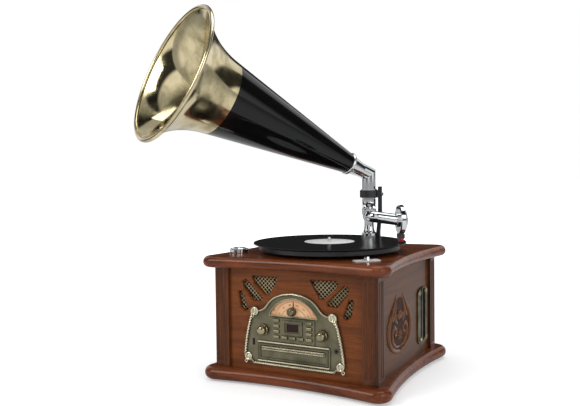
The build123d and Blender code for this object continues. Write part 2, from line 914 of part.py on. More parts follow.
with BuildPart() as disc_spindle:
    with BuildSketch(Plane.XY.offset(drive_low + drive_wall + seat_gap)):
        with Locations(disc_place):
            Circle(hub_radius)
    extrude(amount=tray_top - drive_low - drive_wall)
    chamfer(disc_spindle.faces().sort_by(Axis.Z)[-1].edges(), 1)
disc_spindle.part.label = "disc_spindle"

# Cassette bezel, mechanism and eject key in the right side
with BuildPart() as cassette_bezel:
    with BuildSketch(Plane.YZ.offset(panel_face)):
        with Locations((bezel_y, bezel_z)):
            RectangleRounded(bezel_width, bezel_height - 2 * bezel_cap, 3)
            with GridLocations(0, bezel_height - 2 * bezel_cap, 1, 2):
                Ellipse(bezel_width * 0.42, bezel_cap)
    extrude(amount=bezel_thickness)
    with BuildSketch(Plane.YZ.offset(panel_face + bezel_thickness)):
        with Locations((slot_y, slot_z)):
            Rectangle(slot_width + 2 * slot_frame, slot_height + 0.8 * slot_frame)
    extrude(amount=block_relief)
    with BuildSketch(Plane.YZ.offset(panel_face)):
        with Locations((slot_y, slot_z)):
            Rectangle(slot_width, slot_height)
        with Locations((key_y, key_z)):
            Circle(key_radius + button_gap)
    extrude(amount=bezel_thickness + 2 * block_relief, mode=Mode.SUBTRACT)
cassette_bezel.part.label = "cassette_bezel"

with BuildPart() as cassette_mechanism:
    with BuildSketch(Plane.YZ.offset(panel_face - deck_depth)):
        with Locations((slot_y, slot_z)):
            Rectangle(slot_width + 2 * deck_wall, slot_height + 2 * deck_wall)
    extrude(amount=deck_depth)
    with BuildSketch(Plane.YZ.offset(panel_back - deck_flange_thickness)):
        with Locations((slot_y, slot_z)):
            Rectangle(slot_width + 2 * (deck_wall + deck_flange), slot_height + 2 * deck_flange - 1)
    extrude(amount=deck_flange_thickness)
    with BuildSketch(Plane.YZ.offset(panel_face - deck_depth + deck_wall)):
        with Locations((slot_y, slot_z)):
            Rectangle(slot_width, slot_height)
    extrude(amount=deck_depth, mode=Mode.SUBTRACT)
    with BuildSketch(Plane.XZ.offset(-slot_y + slot_width / 2 + deck_wall)):
        with Locations((panel_back - deck_motor_inset, slot_z)):
            Circle(deck_motor_radius)
    extrude(amount=deck_motor_length)
cassette_mechanism.part.label = "cassette_mechanism"

with BuildPart() as cassette_key:
    with BuildSketch(Plane.YZ.offset(panel_back - seat_gap)):
        with Locations((key_y, key_z)):
            Circle(key_radius)
    extrude(amount=panel_thickness + seat_gap + bezel_thickness + key_proud)
    fillet(cassette_key.faces().sort_by(Axis.X)[-1].edges(), 1.5)
    with BuildSketch(Plane.YZ.offset(panel_back - seat_gap)):
        with Locations((key_y, key_z)):
            Circle(key_radius + 2)
    extrude(amount=-1.5)
cassette_key.part.label = "cassette_key"

# Turntable
disc_origin = Vector(disc_x, disc_y, 0)
with BuildPart() as platter:
    with BuildSketch(axial_plane(disc_origin, Vector(1, 0, 0))):
        with BuildLine():
            Polyline(
                (spindle_shaft, platter_low - hub_drop),
                (platter_hub, platter_low - hub_drop),
                (platter_hub, platter_top - platter_plate),
                (belt_ring_radius - belt_ring_wall, platter_top - platter_plate),
                (belt_ring_radius - belt_ring_wall, platter_low),
                (belt_ring_radius, platter_low),
                (belt_ring_radius, platter_top - platter_plate),
                (platter_radius - rim_wall, platter_top - platter_plate),
                (platter_radius - rim_wall, platter_low),
                (platter_radius - rim_round, platter_low),
                (platter_radius, platter_low + rim_round),
                (platter_radius, platter_top - rim_round),
                (platter_radius - rim_round, platter_top),
                (spindle_shaft, platter_top),
                close=True,
            )
        make_face()
    revolve(axis=Axis(disc_origin, (0, 0, 1)))
platter.part.label = "platter"

with BuildPart() as platter_mat:
    with BuildSketch(Plane.XY.offset(platter_top)):
        with Locations((disc_x, disc_y)):
            Circle(mat_radius)
            Circle(spindle_radius + running_fit, mode=Mode.SUBTRACT)
    extrude(amount=mat_thickness)
platter_mat.part.label = "platter_mat"

with BuildPart() as record:
    with BuildSketch(Plane.XY.offset(mat_top)):
        with Locations((disc_x, disc_y)):
            Circle(record_radius)
            Circle(spindle_radius + running_fit, mode=Mode.SUBTRACT)
    extrude(amount=record_thickness - label_relief)
    with BuildSketch(Plane.XY.offset(record_top - label_relief)):
        with Locations((disc_x, disc_y)):
            Circle(label_radius)
            Circle(spindle_radius + running_fit, mode=Mode.SUBTRACT)
    extrude(amount=label_relief)
record.part.label = "record"

with BuildPart() as spindle:
    with BuildSketch(axial_plane(disc_origin, Vector(1, 0, 0))):
        with BuildLine():
            spindle_low = deck_z - bearing_depth + 2
            spindle_top = record_top + spindle_rise
            pin_low = record_top + seat_gap
            Line((0, spindle_low), (spindle_shaft, spindle_low))
            Line((spindle_shaft, spindle_low), (spindle_shaft, pin_low))
            Line((spindle_shaft, pin_low), (spindle_radius, pin_low))
            Line((spindle_radius, pin_low), (spindle_radius, spindle_top - spindle_radius))
            RadiusArc((spindle_radius, spindle_top - spindle_radius), (0, spindle_top), -spindle_radius)
            Line((0, spindle_top), (0, spindle_low))
        make_face()
    revolve(axis=Axis(disc_origin, (0, 0, 1)))
spindle.part.label = "spindle"

with BuildPart() as spindle_bearing:
    with BuildSketch(Plane.XY.offset(deck_z - bearing_depth)):
        with Locations((disc_x, disc_y)):
            Circle(bearing_radius)
    extrude(amount=bearing_depth)
    with BuildSketch(Plane.XY.offset(deck_z)):
        with Locations((disc_x, disc_y)):
            Circle(bearing_flange)
    extrude(amount=1.5)
    with BuildSketch(Plane.XY.offset(spindle_low - button_gap)):
        with Locations((disc_x, disc_y)):
            Circle(spindle_shaft + running_fit)
    extrude(amount=bearing_depth + 2, mode=Mode.SUBTRACT)
spindle_bearing.part.label = "spindle_bearing"

# Belt drive under the platter
pulley_low = deck_z + 1
belt_low = platter_low + 0.3
with BuildPart() as turntable_motor:
    with BuildSketch(Plane.XY.offset(ceiling_z - motor_length)):
        with Locations((motor_x, motor_y)):
            Circle(motor_radius)
    extrude(amount=motor_length)
    with BuildSketch(Plane.XY.offset(ceiling_z - 2)):
        with Locations((motor_x, motor_y)):
            SlotOverall(3 * motor_radius, motor_lug_width)
    extrude(amount=2)
    with BuildSketch(Plane.XY.offset(ceiling_z - motor_bore)):
        with Locations((motor_x, motor_y)):
            Circle(motor_shaft + running_fit)
    extrude(amount=motor_bore, mode=Mode.SUBTRACT)
turntable_motor.part.label = "turntable_motor"

with BuildPart() as motor_pulley:
    with BuildSketch(axial_plane(Vector(motor_x, motor_y, 0), Vector(1, 0, 0))):
        with BuildLine():
            Polyline(
                (0, ceiling_z - motor_bore + 1),
                (motor_shaft, ceiling_z - motor_bore + 1),
                (motor_shaft, pulley_low),
                (pulley_radius + pulley_flange, pulley_low),
                (pulley_radius + pulley_flange, belt_low - 1),
                (pulley_radius, belt_low - 0.2),
                (pulley_radius, belt_low + belt_width + 0.1),
                (pulley_radius + 0.4, belt_low + belt_width + 0.6),
                (0, belt_low + belt_width + 0.6),
                close=True,
            )
        make_face()
    revolve(axis=Axis((motor_x, motor_y, 0), (0, 0, 1)))
motor_pulley.part.label = "motor_pulley"


def belt_loop(grow):
    """Outline of a belt round the platter's ring and the motor pulley, moved out by grow."""
    run = Vector(motor_x - disc_x, motor_y - disc_y)
    large = belt_ring_radius + grow
    small = pulley_radius + grow
    lean = math.acos((large - small) / run.length)
    along = math.atan2(run.Y, run.X)
    ends = []
    for sign in (-1, 1):
        direction = Vector(math.cos(along + sign * lean), math.sin(along + sign * lean))
        platter_end = Vector(disc_x, disc_y) + direction * large
        pulley_end = Vector(motor_x, motor_y) + direction * small
        ends.append((platter_end, pulley_end))
    unit = run.normalized()
    with BuildSketch() as loop:
        with BuildLine():
            Line(ends[0][0], ends[0][1])
            ThreePointArc(ends[0][1], Vector(motor_x, motor_y) + unit * small, ends[1][1])
            Line(ends[1][1], ends[1][0])
            ThreePointArc(ends[1][0], Vector(disc_x, disc_y) - unit * large, ends[0][0])
        make_face()
    return loop.sketch


with BuildPart() as drive_belt:
    with BuildSketch(Plane.XY.offset(belt_low)):
        add(belt_loop(belt_gap + belt_thickness))
        add(belt_loop(belt_gap), mode=Mode.SUBTRACT)
    extrude(amount=belt_width)
drive_belt.part.label = "drive_belt"

# Adapter puck and speed switch on the deck
with BuildPart() as record_adapter:
    with BuildSketch(axial_plane(Vector(adapter_x, adapter_y, deck_z), Vector(1, 0, 0))):
        with BuildLine():
            Polyline(
                (spindle_radius + 0.1, 0),
                (adapter_radius - 0.8, 0),
                (adapter_radius, 0.8),
                (adapter_radius, adapter_height - 3),
                (adapter_radius - 1, adapter_height - 2),
                (adapter_radius - 4, adapter_height - 2),
                (adapter_radius - 7, adapter_height),
                (spindle_radius + 2, adapter_height),
                (spindle_radius + 0.1, adapter_height - 1.5),
                close=True,
            )
        make_face()
    revolve(axis=Axis((adapter_x, adapter_y, deck_z), (0, 0, 1)))
record_adapter.part.label = "record_adapter"

plate_place = Location((plate_x, plate_y), plate_turn)
with BuildPart() as speed_plate:
    with BuildSketch(Plane.XY.offset(deck_z)):
        with Locations(plate_place):
            RectangleRounded(plate_length, plate_depth, 4)
            Rectangle(lever_slot, lever_width + 2, mode=Mode.SUBTRACT)
    extrude(amount=plate_thickness)
speed_plate.part.label = "speed_plate"

with BuildPart() as speed_lever:
    with BuildSketch(Plane.XY.offset(deck_z - lever_depth + 1)):
        with Locations(plate_place):
            Rectangle(lever_width, lever_width)
    extrude(amount=lever_depth + plate_thickness)
    with BuildSketch(Plane.XY.offset(deck_z + plate_thickness + button_gap)):
        with Locations(plate_place):
            RectangleRounded(lever_width + 3, plate_depth - 8, 2)
    extrude(amount=6, taper=8)
speed_lever.part.label = "speed_lever"

# Pedestal, tonearm and soundbox
with BuildPart() as arm_pedestal:
    with BuildSketch(axial_plane(column_foot, Vector(1, 0, 0))):
        with BuildLine():
            Line((0, deck_z), (pedestal_foot, deck_z))
            Line((pedestal_foot, deck_z), (pedestal_foot, collar_low - 0.5))
            Line((pedestal_foot, collar_low - 0.5), (pedestal_drum, collar_low))
            Line((pedestal_drum, collar_low), (pedestal_drum, drum_top))
            Spline(
                (pedestal_drum, drum_top),
                (pedestal_neck, pedestal_top - 4),
                tangents=[(-0.9, 0.6), (0, 1)],
            )
            Line((pedestal_neck, pedestal_top - 4), (pedestal_neck + 1.5, pedestal_top - 3))
            Line((pedestal_neck + 1.5, pedestal_top - 3), (pedestal_neck + 1.5, pedestal_top))
            Line((pedestal_neck + 1.5, pedestal_top), (pin_radius, pedestal_top))
            Line((pin_radius, pedestal_top), (pin_radius, pedestal_top + pin_length))
            Line((pin_radius, pedestal_top + pin_length), (0, pedestal_top + pin_length))
            Line((0, pedestal_top + pin_length), (0, deck_z))
        make_face()
    revolve(axis=Axis(column_foot, (0, 0, 1)))
arm_pedestal.part.label = "arm_pedestal"

with BuildPart() as arm_elbow:
    swivel_top = column_foot + Vector(0, 0, swivel_z)
    with BuildLine():
        FilletPolyline(
            swivel_top,
            column_foot + Vector(0, 0, arm_z),
            column_foot + arm_direction * arm_elbow_reach + Vector(0, 0, arm_z),
            radius=arm_bend,
        )
    with BuildSketch(Plane(origin=swivel_top, z_dir=(0, 0, -1))):
        Circle(tube_radius)
    sweep()
    with BuildSketch(Plane.XY.offset(pedestal_top + arm_joint_gap)):
        with Locations((column_x, column_y)):
            Circle(boss_radius)
    extrude(amount=arm_z - pedestal_top)
    with BuildSketch(Plane.XY.offset(pedestal_top)):
        with Locations((column_x, column_y)):
            Circle(pin_radius + running_fit)
    extrude(amount=pin_length + arm_joint_gap, mode=Mode.SUBTRACT)
arm_elbow.part.label = "arm_elbow"

arm_origin = column_foot + Vector(0, 0, arm_z)
arm_tip = arm_length - crook_stub
with BuildPart() as tonearm_tube:
    with BuildSketch(axial_plane(arm_origin, arm_direction)):
        with BuildLine():
            Polyline(
                (arm_elbow_reach, 0),
                (arm_elbow_reach, tube_radius),
                (arm_elbow_reach + 3, tube_radius + 1),
                (arm_elbow_reach + 6, tube_radius),
                (arm_elbow_reach + 7, arm_rear_radius),
                (arm_tip - 6, arm_front_radius),
                (arm_tip - 5, collar_radius),
                (arm_tip, collar_radius),
                (arm_tip, spigot_radius + running_fit),
                (arm_tip - spigot_length - 1, spigot_radius + running_fit),
                (arm_tip - spigot_length - 1, 0),
                close=True,
            )
        make_face()
    revolve(axis=Axis(arm_origin, arm_direction))
tonearm_tube.part.label = "tonearm_tube"

crook_start = arm_origin + arm_direction * (arm_tip + arm_joint_gap)
with BuildPart() as gooseneck:
    with BuildLine():
        FilletPolyline(
            crook_start,
            elbow_point,
            soundbox_point - crook_direction * 2,
            radius=crook_bend,
        )
    with BuildSketch(Plane(origin=crook_start, z_dir=arm_direction)):
        Circle(crook_radius)
    sweep()
    with BuildSketch(Plane(origin=crook_start, z_dir=arm_direction)):
        Circle(collar_radius)
    extrude(amount=4)
    with BuildSketch(Plane(origin=crook_start, z_dir=arm_direction)):
        Circle(spigot_radius)
    extrude(amount=-spigot_length)
    with BuildSketch(Plane(origin=soundbox_point, z_dir=crook_direction)):
        Circle(soundbox_boss)
    extrude(amount=-4)
gooseneck.part.label = "gooseneck"

soundbox_plane = axial_plane(soundbox_point, crook_direction)
soundbox_axis = Axis(soundbox_point, crook_direction)
with BuildPart() as soundbox:
    with BuildSketch(soundbox_plane):
        with BuildLine():
            Polyline(
                (0, 0),
                (0, soundbox_radius - 2),
                (2, soundbox_radius),
                (soundbox_thickness - 2, soundbox_radius),
                (soundbox_thickness, soundbox_radius - 2),
                (soundbox_thickness, soundbox_radius - 4.5),
                (soundbox_thickness - 3, soundbox_radius - 4.5),
                (soundbox_thickness - 3, 0),
                close=True,
            )
        make_face()
    revolve(axis=soundbox_axis)
soundbox.part.label = "soundbox"

with BuildPart() as soundbox_cover:
    cover_radius = soundbox_radius - 4.5
    cover_back = soundbox_thickness - 3
    with BuildSketch(soundbox_plane):
        with BuildLine():
            Line((cover_back, 0), (cover_back, cover_radius))
            Line((cover_back, cover_radius), (soundbox_thickness + 0.5, cover_radius))
            ThreePointArc(
                (soundbox_thickness + 0.5, cover_radius),
                (soundbox_thickness + dome_height * 0.74, cover_radius * 0.62),
                (soundbox_thickness + dome_height, cover_radius * 0.2),
            )
            Line(
                (soundbox_thickness + dome_height, cover_radius * 0.2),
                (soundbox_thickness + dome_height, 0),
            )
            Line((soundbox_thickness + dome_height, 0), (cover_back, 0))
        make_face()
    revolve(axis=soundbox_axis)
soundbox_cover.part.label = "soundbox_cover"

needle_z = record_top + needle_clearance
stylus_low = needle_z + 1.6
stylus_high = stylus_low + stylus_height
head_middle = soundbox_point + crook_direction * (soundbox_thickness / 2)
head_turn = crook_heading
head_place = Location((head_middle.X, head_middle.Y), head_turn)
with BuildPart() as cartridge:
    with BuildSketch(Plane.XY.offset(stylus_high)):
        with Locations(head_place):
            Rectangle(cartridge_width, cartridge_length)
    extrude(amount=soundbox_point.Z - soundbox_radius + 4 - stylus_high)
    with BuildSketch(Plane(origin=soundbox_point - crook_direction * 5, z_dir=crook_direction)):
        Circle(soundbox_radius)
    extrude(amount=soundbox_thickness + 10, mode=Mode.SUBTRACT)
cartridge.part.label = "cartridge"

with BuildPart() as stylus:
    with BuildSketch(Plane.XY.offset(stylus_high)):
        with Locations(head_place):
            Rectangle(cartridge_width - 2, cartridge_length - 3)
    extrude(amount=-stylus_height, taper=14)
    with BuildSketch(Plane.XY.offset(stylus_low + 0.5)):
        with Locations(head_place):
            Circle(0.9)
    extrude(amount=needle_z - stylus_low - 0.5, taper=14)
stylus.part.label = "stylus"

# Horn bracket: ring clamp, bar with a set-back foot and a collar round the pedestal
bar_direction = Vector(math.cos(math.radians(bar_heading)), math.sin(math.radians(bar_heading)), 0)
with BuildPart() as horn_bracket:
    bar_inner = bar_offset - bar_thickness / 2
    bar_outer = bar_offset + bar_thickness / 2
    with BuildSketch(axial_plane(column_foot, bar_direction)) as bar_side:
        with BuildLine():
            Polyline(
                (bar_inner, bar_top),
                (bar_outer, bar_top),
                (bar_outer, bar_bend_high),
                (pedestal_drum + bar_thickness, bar_bend_low),
                (pedestal_drum + bar_thickness, collar_low),
                (pedestal_drum, collar_low),
                (pedestal_drum, bar_bend_low),
                (bar_inner, bar_bend_high),
                close=True,
            )
        make_face()
        fillet(bar_side.vertices(), 1.5)
    extrude(amount=bar_width / 2, both=True)
    with BuildSketch(Plane.XY.offset(ring_low)):
        with Locations((column_x, column_y)):
            Circle(tube_radius + ring_wall)
        with Locations(Location(column_foot + bar_direction * (bar_offset - 3), bar_heading)):
            Rectangle(bar_thickness + 6, bar_width)
    extrude(amount=ring_high - ring_low)
    with BuildSketch(Plane.XY.offset(collar_low)):
        with Locations((column_x, column_y)):
            Circle(pedestal_drum + collar_wall)
    extrude(amount=collar_high - collar_low)
    with BuildSketch(Plane.XY.offset(collar_low)):
        with Locations((column_x, column_y)):
            Circle(pedestal_drum)
    extrude(amount=drum_top - collar_low, mode=Mode.SUBTRACT)
    with BuildSketch(Plane.XY.offset(ring_low)):
        with Locations((column_x, column_y)):
            Circle(tube_radius + running_fit)
    extrude(amount=ring_high - ring_low, mode=Mode.SUBTRACT)
horn_bracket.part.label = "horn_bracket"

with BuildPart() as clamp_screw:
    screw_point = column_foot + bar_direction * bar_outer + Vector(0, 0, (ring_low + ring_high) / 2)
    with BuildSketch(Plane(origin=screw_point, z_dir=bar_direction)):
        Circle(4)
    extrude(amount=3)
    with BuildSketch(Plane(origin=screw_point + bar_direction * 3, z_dir=bar_direction)):
        RegularPolygon(2, 6)
    extrude(amount=-1.5, mode=Mode.SUBTRACT)
clamp_screw.part.label = "clamp_screw"

# Horn
horn_low = column_foot + Vector(0, 0, swivel_z + 1)
horn_plane = axial_plane(horn_point, horn_direction)
horn_axis = Axis(horn_point, horn_direction)
with BuildPart() as horn_elbow:
    neck_start = neck_end * 0.45
    with BuildLine():
        Polyline(horn_low, horn_point, horn_point + horn_direction * neck_start)
    with BuildSketch(Plane(origin=horn_low, z_dir=(0, 0, 1))):
        Circle(tube_radius)
    sweep(transition=Transition.RIGHT)
    with BuildSketch(horn_plane):
        with BuildLine():
            Polyline(
                (neck_start - 1, 0),
                (neck_start - 1, tube_radius),
                (neck_end, neck_end_radius),
                (neck_end, 0),
                close=True,
            )
        make_face()
    revolve(axis=horn_axis)
    with BuildSketch(Plane.XY.offset(ring_high + seat_gap)):
        with Locations((column_x, column_y)):
            Circle(tube_radius + stop_ring)
    extrude(amount=stop_ring)
    with BuildLine():
        Polyline(horn_low, horn_point, horn_point + horn_direction * neck_start)
    with BuildSketch(Plane(origin=horn_low, z_dir=(0, 0, 1))):
        Circle(tube_radius - tube_wall)
    sweep(transition=Transition.RIGHT, mode=Mode.SUBTRACT)
    with BuildSketch(horn_plane):
        with BuildLine():
            Polyline(
                (neck_start - 1, 0),
                (neck_start - 1, tube_radius - tube_wall),
                (neck_end, neck_end_radius - tube_wall),
                (neck_end, 0),
                close=True,
            )
        make_face()
    revolve(axis=horn_axis, mode=Mode.SUBTRACT)
horn_elbow.part.label = "horn_elbow"

with BuildPart() as neck_ring:
    with BuildSketch(horn_plane):
        with BuildLine():
            ring_middle = (neck_end + ring_end) / 2
            Line((neck_end, neck_end_radius - tube_wall), (neck_end, neck_end_radius + 1))
            ThreePointArc(
                (neck_end, neck_end_radius + 1),
                (ring_middle, cone_start_radius + 2.5),
                (ring_end, cone_start_radius + 0.5),
            )
            Line((ring_end, cone_start_radius + 0.5), (ring_end, cone_start_radius - horn_wall))
            Line((ring_end, cone_start_radius - horn_wall), (neck_end, neck_end_radius - tube_wall))
        make_face()
    revolve(axis=horn_axis)
neck_ring.part.label = "neck_ring"

with BuildPart() as horn_cone:
    with BuildSketch(horn_plane):
        with BuildLine():
            Polyline(
                (ring_end, cone_start_radius),
                (cone_end, cone_end_radius),
                (cone_end, cone_end_radius - horn_wall),
                (ring_end, cone_start_radius - horn_wall),
                close=True,
            )
        make_face()
    revolve(axis=horn_axis)
horn_cone.part.label = "horn_cone"

bell_flare = [
    (cone_end, cone_end_radius),
    (cone_end + 0.36 * (bell_length - cone_end), cone_end_radius + 0.16 * (bell_radius - cone_end_radius)),
    (cone_end + 0.74 * (bell_length - cone_end), cone_end_radius + 0.52 * (bell_radius - cone_end_radius)),
    (bell_length, bell_radius),
]
with BuildPart() as horn_bell:
    with BuildSketch(horn_plane):
        with BuildLine():
            Spline(*bell_flare)
            Line(bell_flare[-1], (bell_length, bell_radius - horn_wall))
            Spline(*[(along, radius - horn_wall) for along, radius in reversed(bell_flare)])
            Line((cone_end, cone_end_radius - horn_wall), bell_flare[0])
        make_face()
        with Locations((bell_length, bell_radius - horn_wall / 2)):
            Circle(bead_radius)
    revolve(axis=horn_axis)
horn_bell.part.label = "horn_bell"

# Inside the cabinet: mains transformer and main board
with BuildPart() as transformer:
    with BuildSketch(Plane.XY.offset(floor_z)):
        with Locations((transformer_x, transformer_y)):
            Rectangle(core_length + 2 * core_flange, bobbin_width + 2)
    extrude(amount=sheet_metal)
    with BuildSketch(Plane.XY.offset(floor_z + sheet_metal)):
        with Locations((transformer_x, transformer_y)):
            Rectangle(core_length, core_width)
    extrude(amount=core_height)
    with BuildSketch(Plane.XY.offset(floor_z + sheet_metal + (core_height - bobbin_height) / 2)):
        with Locations((transformer_x, transformer_y)):
            RectangleRounded(bobbin_length, bobbin_width, bobbin_length / 6)
    extrude(amount=bobbin_height)
transformer.part.label = "transformer"

with BuildPart() as main_board:
    with BuildSketch(Plane.XY.offset(floor_z)):
        with Locations((main_board_x, main_board_y)):
            post_x = main_board_length - 2 * board_post_inset
            post_y = main_board_width - 2 * board_post_inset
            with GridLocations(post_x, post_y, 2, 2):
                Circle(board_post_radius)
    extrude(amount=board_post_height)
    with BuildSketch(Plane.XY.offset(floor_z + board_post_height)):
        with Locations((main_board_x, main_board_y)):
            Rectangle(main_board_length, main_board_width)
    extrude(amount=board_thickness)
    board_top = floor_z + board_post_height + board_thickness
    with BuildSketch(Plane.XY.offset(board_top)):
        with Locations((main_board_x - capacitor_x, main_board_y)):
            with GridLocations(2.5 * capacitor_radius, 0, 2, 1):
                Circle(capacitor_radius)
    extrude(amount=capacitor_height)
    with BuildSketch(Plane.XY.offset(board_top)):
        with Locations((main_board_x + sink_x, main_board_y + sink_y)):
            with GridLocations(fin_pitch, 0, fin_count, 1):
                Rectangle(fin_width, sink_depth)
            with Locations((0, -sink_depth / 2 - 1)):
                Rectangle((fin_count - 1) * fin_pitch + fin_width, 1.5 * fin_width)
    extrude(amount=sink_height)
main_board.part.label = "main_board"

# One file for each piece; small pieces that are fixed together share one as separate solids
pieces = [
    base_board, feet, top_board, corner_posts, front_panel, left_panel, right_panel, back_panel,
    speaker_meshes, speakers, fascia_plate, dial_face, dial_pointer, tuner_knob, volume_knob,
    function_knob, control_board, headphone_jack, cd_tray, cassette_bezel, cassette_mechanism,
    cassette_key, platter, platter_mat, record, spindle, spindle_bearing, turntable_motor,
    motor_pulley, drive_belt, record_adapter, speed_plate, speed_lever, arm_pedestal, arm_elbow,
    tonearm_tube, gooseneck, cartridge, stylus, horn_bracket, horn_cone, horn_bell,
]
groups = {
    "display_windows": (display_window, sensor_lens),
    "cd_drive": (cd_drive, drive_lid, disc_spindle),
    "rear_fittings": (socket_plate, cord_gland),
    "screws": (back_screws, clamp_screw),
    "soundbox": (soundbox, soundbox_cover),
    "horn_elbow": (horn_elbow, neck_ring),
    "main_board": (main_board, transformer),
}
for piece in pieces + buttons:
    export_step(piece.part, f"parts/{piece.part.label}.step")
for label, members in groups.items():
    export_step(Compound(label=label, children=[member.part for member in members]), f"parts/{label}.step")
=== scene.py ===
import math
import bpy
from mathutils import Matrix, Vector


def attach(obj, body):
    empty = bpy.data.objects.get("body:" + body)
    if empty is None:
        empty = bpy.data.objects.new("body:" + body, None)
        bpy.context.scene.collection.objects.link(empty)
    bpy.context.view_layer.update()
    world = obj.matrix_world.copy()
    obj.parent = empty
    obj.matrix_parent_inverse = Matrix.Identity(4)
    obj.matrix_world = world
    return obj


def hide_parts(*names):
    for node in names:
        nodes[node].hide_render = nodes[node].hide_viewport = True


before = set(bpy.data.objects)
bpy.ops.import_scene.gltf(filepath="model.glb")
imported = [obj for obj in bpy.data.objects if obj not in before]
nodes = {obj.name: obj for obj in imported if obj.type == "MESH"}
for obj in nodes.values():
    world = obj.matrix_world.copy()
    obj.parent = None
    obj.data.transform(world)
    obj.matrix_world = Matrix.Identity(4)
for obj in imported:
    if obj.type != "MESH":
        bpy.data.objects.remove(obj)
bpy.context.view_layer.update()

# Places and sizes on the object, in metres, as in the model
PANEL_FACE = 0.1605
FASCIA_FACE = 0.1635
DISC_CENTRE = (0.0085, -0.020)
CARVING_Y = -0.041
CARVING_SINK = 0.0005
CARVED_ROSETTE_Z = 0.092
CARVED_LEAF_Z = 0.118
BEZEL_FACE = 0.1632
TUNER_Z = 0.144
SIDE_KNOB_X = 0.0605
SIDE_KNOB_Z = 0.1055
KNOB_SKIRT = 0.0045
DIAL_Z = 0.122
LABEL_RADIUS = 0.0495
LABEL_RING_RADIUS = 0.0365


# Node helpers

def new_group(name, inputs, outputs):
    tree = bpy.data.node_groups.new(name, "ShaderNodeTree")
    for label, kind, value in inputs:
        entry = tree.interface.new_socket(label, in_out="INPUT", socket_type=kind)
        if value is not None:
            entry.default_value = value
    for label, kind in outputs:
        tree.interface.new_socket(label, in_out="OUTPUT", socket_type=kind)
    return tree, tree.nodes.new("NodeGroupInput"), tree.nodes.new("NodeGroupOutput")


def add_node(tree, kind, inputs=None, **settings):
    node = tree.nodes.new(kind)
    for key, value in settings.items():
        setattr(node, key, value)
    for key, value in (inputs or {}).items():
        node.inputs[key].default_value = value
    return node


def ramp(tree, source, stops):
    """A colour ramp from a factor; stops are (position, grey or colour)."""
    node = tree.nodes.new("ShaderNodeValToRGB")
    tree.links.new(source, node.inputs[0])
    elements = node.color_ramp.elements
    while len(elements) < len(stops):
        elements.new(0.5)
    for element, (position, value) in zip(elements, stops):
        element.position = position
        colour = value if isinstance(value, tuple) else (value, value, value)
        element.color = (*colour[:3], 1.0)
    return node.outputs[0]


def mix_colour(tree, factor, first, second, blend="MIX"):
    node = tree.nodes.new("ShaderNodeMix")
    node.data_type = "RGBA"
    node.blend_type = blend
    given = ((node.inputs[0], factor), (node.inputs[6], first), (node.inputs[7], second))
    for socket, value in given:
        if isinstance(value, bpy.types.NodeSocket):
            tree.links.new(value, socket)
        elif isinstance(value, tuple):
            socket.default_value = (*value[:3], 1.0)
        else:
            socket.default_value = value
    return node.outputs[2]


def maths(tree, operation, first, second=0.0, third=0.0):
    node = tree.nodes.new("ShaderNodeMath")
    node.operation = operation
    for socket, value in zip(node.inputs, (first, second, third)):
        if isinstance(value, bpy.types.NodeSocket):
            tree.links.new(value, socket)
        else:
            socket.default_value = value
    return node.outputs[0]


def split_xyz(tree, vector):
    parts = tree.nodes.new("ShaderNodeSeparateXYZ")
    tree.links.new(vector, parts.inputs[0])
    return parts.outputs


def distance(tree, first, second):
    """Distance from the axis that the two coordinates are measured from."""
    squares = maths(tree, "MULTIPLY", first, first)
    squares = maths(tree, "MULTIPLY_ADD", second, second, squares)
    return maths(tree, "SQRT", squares)


def new_material(name, colour, metallic=0.0, roughness=0.5, coat=0.0, coat_roughness=0.05):
    material = bpy.data.materials.new(name)
    material.use_nodes = True
    tree = material.node_tree
    surface = tree.nodes["Principled BSDF"]
    surface.inputs["Base Color"].default_value = (*colour, 1.0)
    surface.inputs["Metallic"].default_value = metallic
    surface.inputs["Roughness"].default_value = roughness
    surface.inputs["Coat Weight"].default_value = coat
    surface.inputs["Coat Roughness"].default_value = coat_roughness
    return material, tree, surface


def place(tree, scale=(1, 1, 1), shift=(0, 0, 0), turn=(0, 0, 0)):
    """Object coordinates, shifted, turned and scaled."""
    source = tree.nodes.new("ShaderNodeTexCoord")
    mapping = tree.nodes.new("ShaderNodeMapping")
    mapping.inputs["Location"].default_value = shift
    mapping.inputs["Rotation"].default_value = turn
    mapping.inputs["Scale"].default_value = scale
    tree.links.new(source.outputs["Object"], mapping.inputs["Vector"])
    return mapping.outputs["Vector"]


def use_group(tree, group, surface, vector, outputs, **values):
    node = tree.nodes.new("ShaderNodeGroup")
    node.node_tree = group
    tree.links.new(vector, node.inputs["Vector"])
    for key, value in values.items():
        entry = node.inputs[key.replace("_", " ")]
        entry.default_value = (*value, 1.0) if isinstance(value, tuple) else value
    for ours, theirs in outputs.items():
        tree.links.new(node.outputs[ours], surface.inputs[theirs])
    return node


# Shared effects

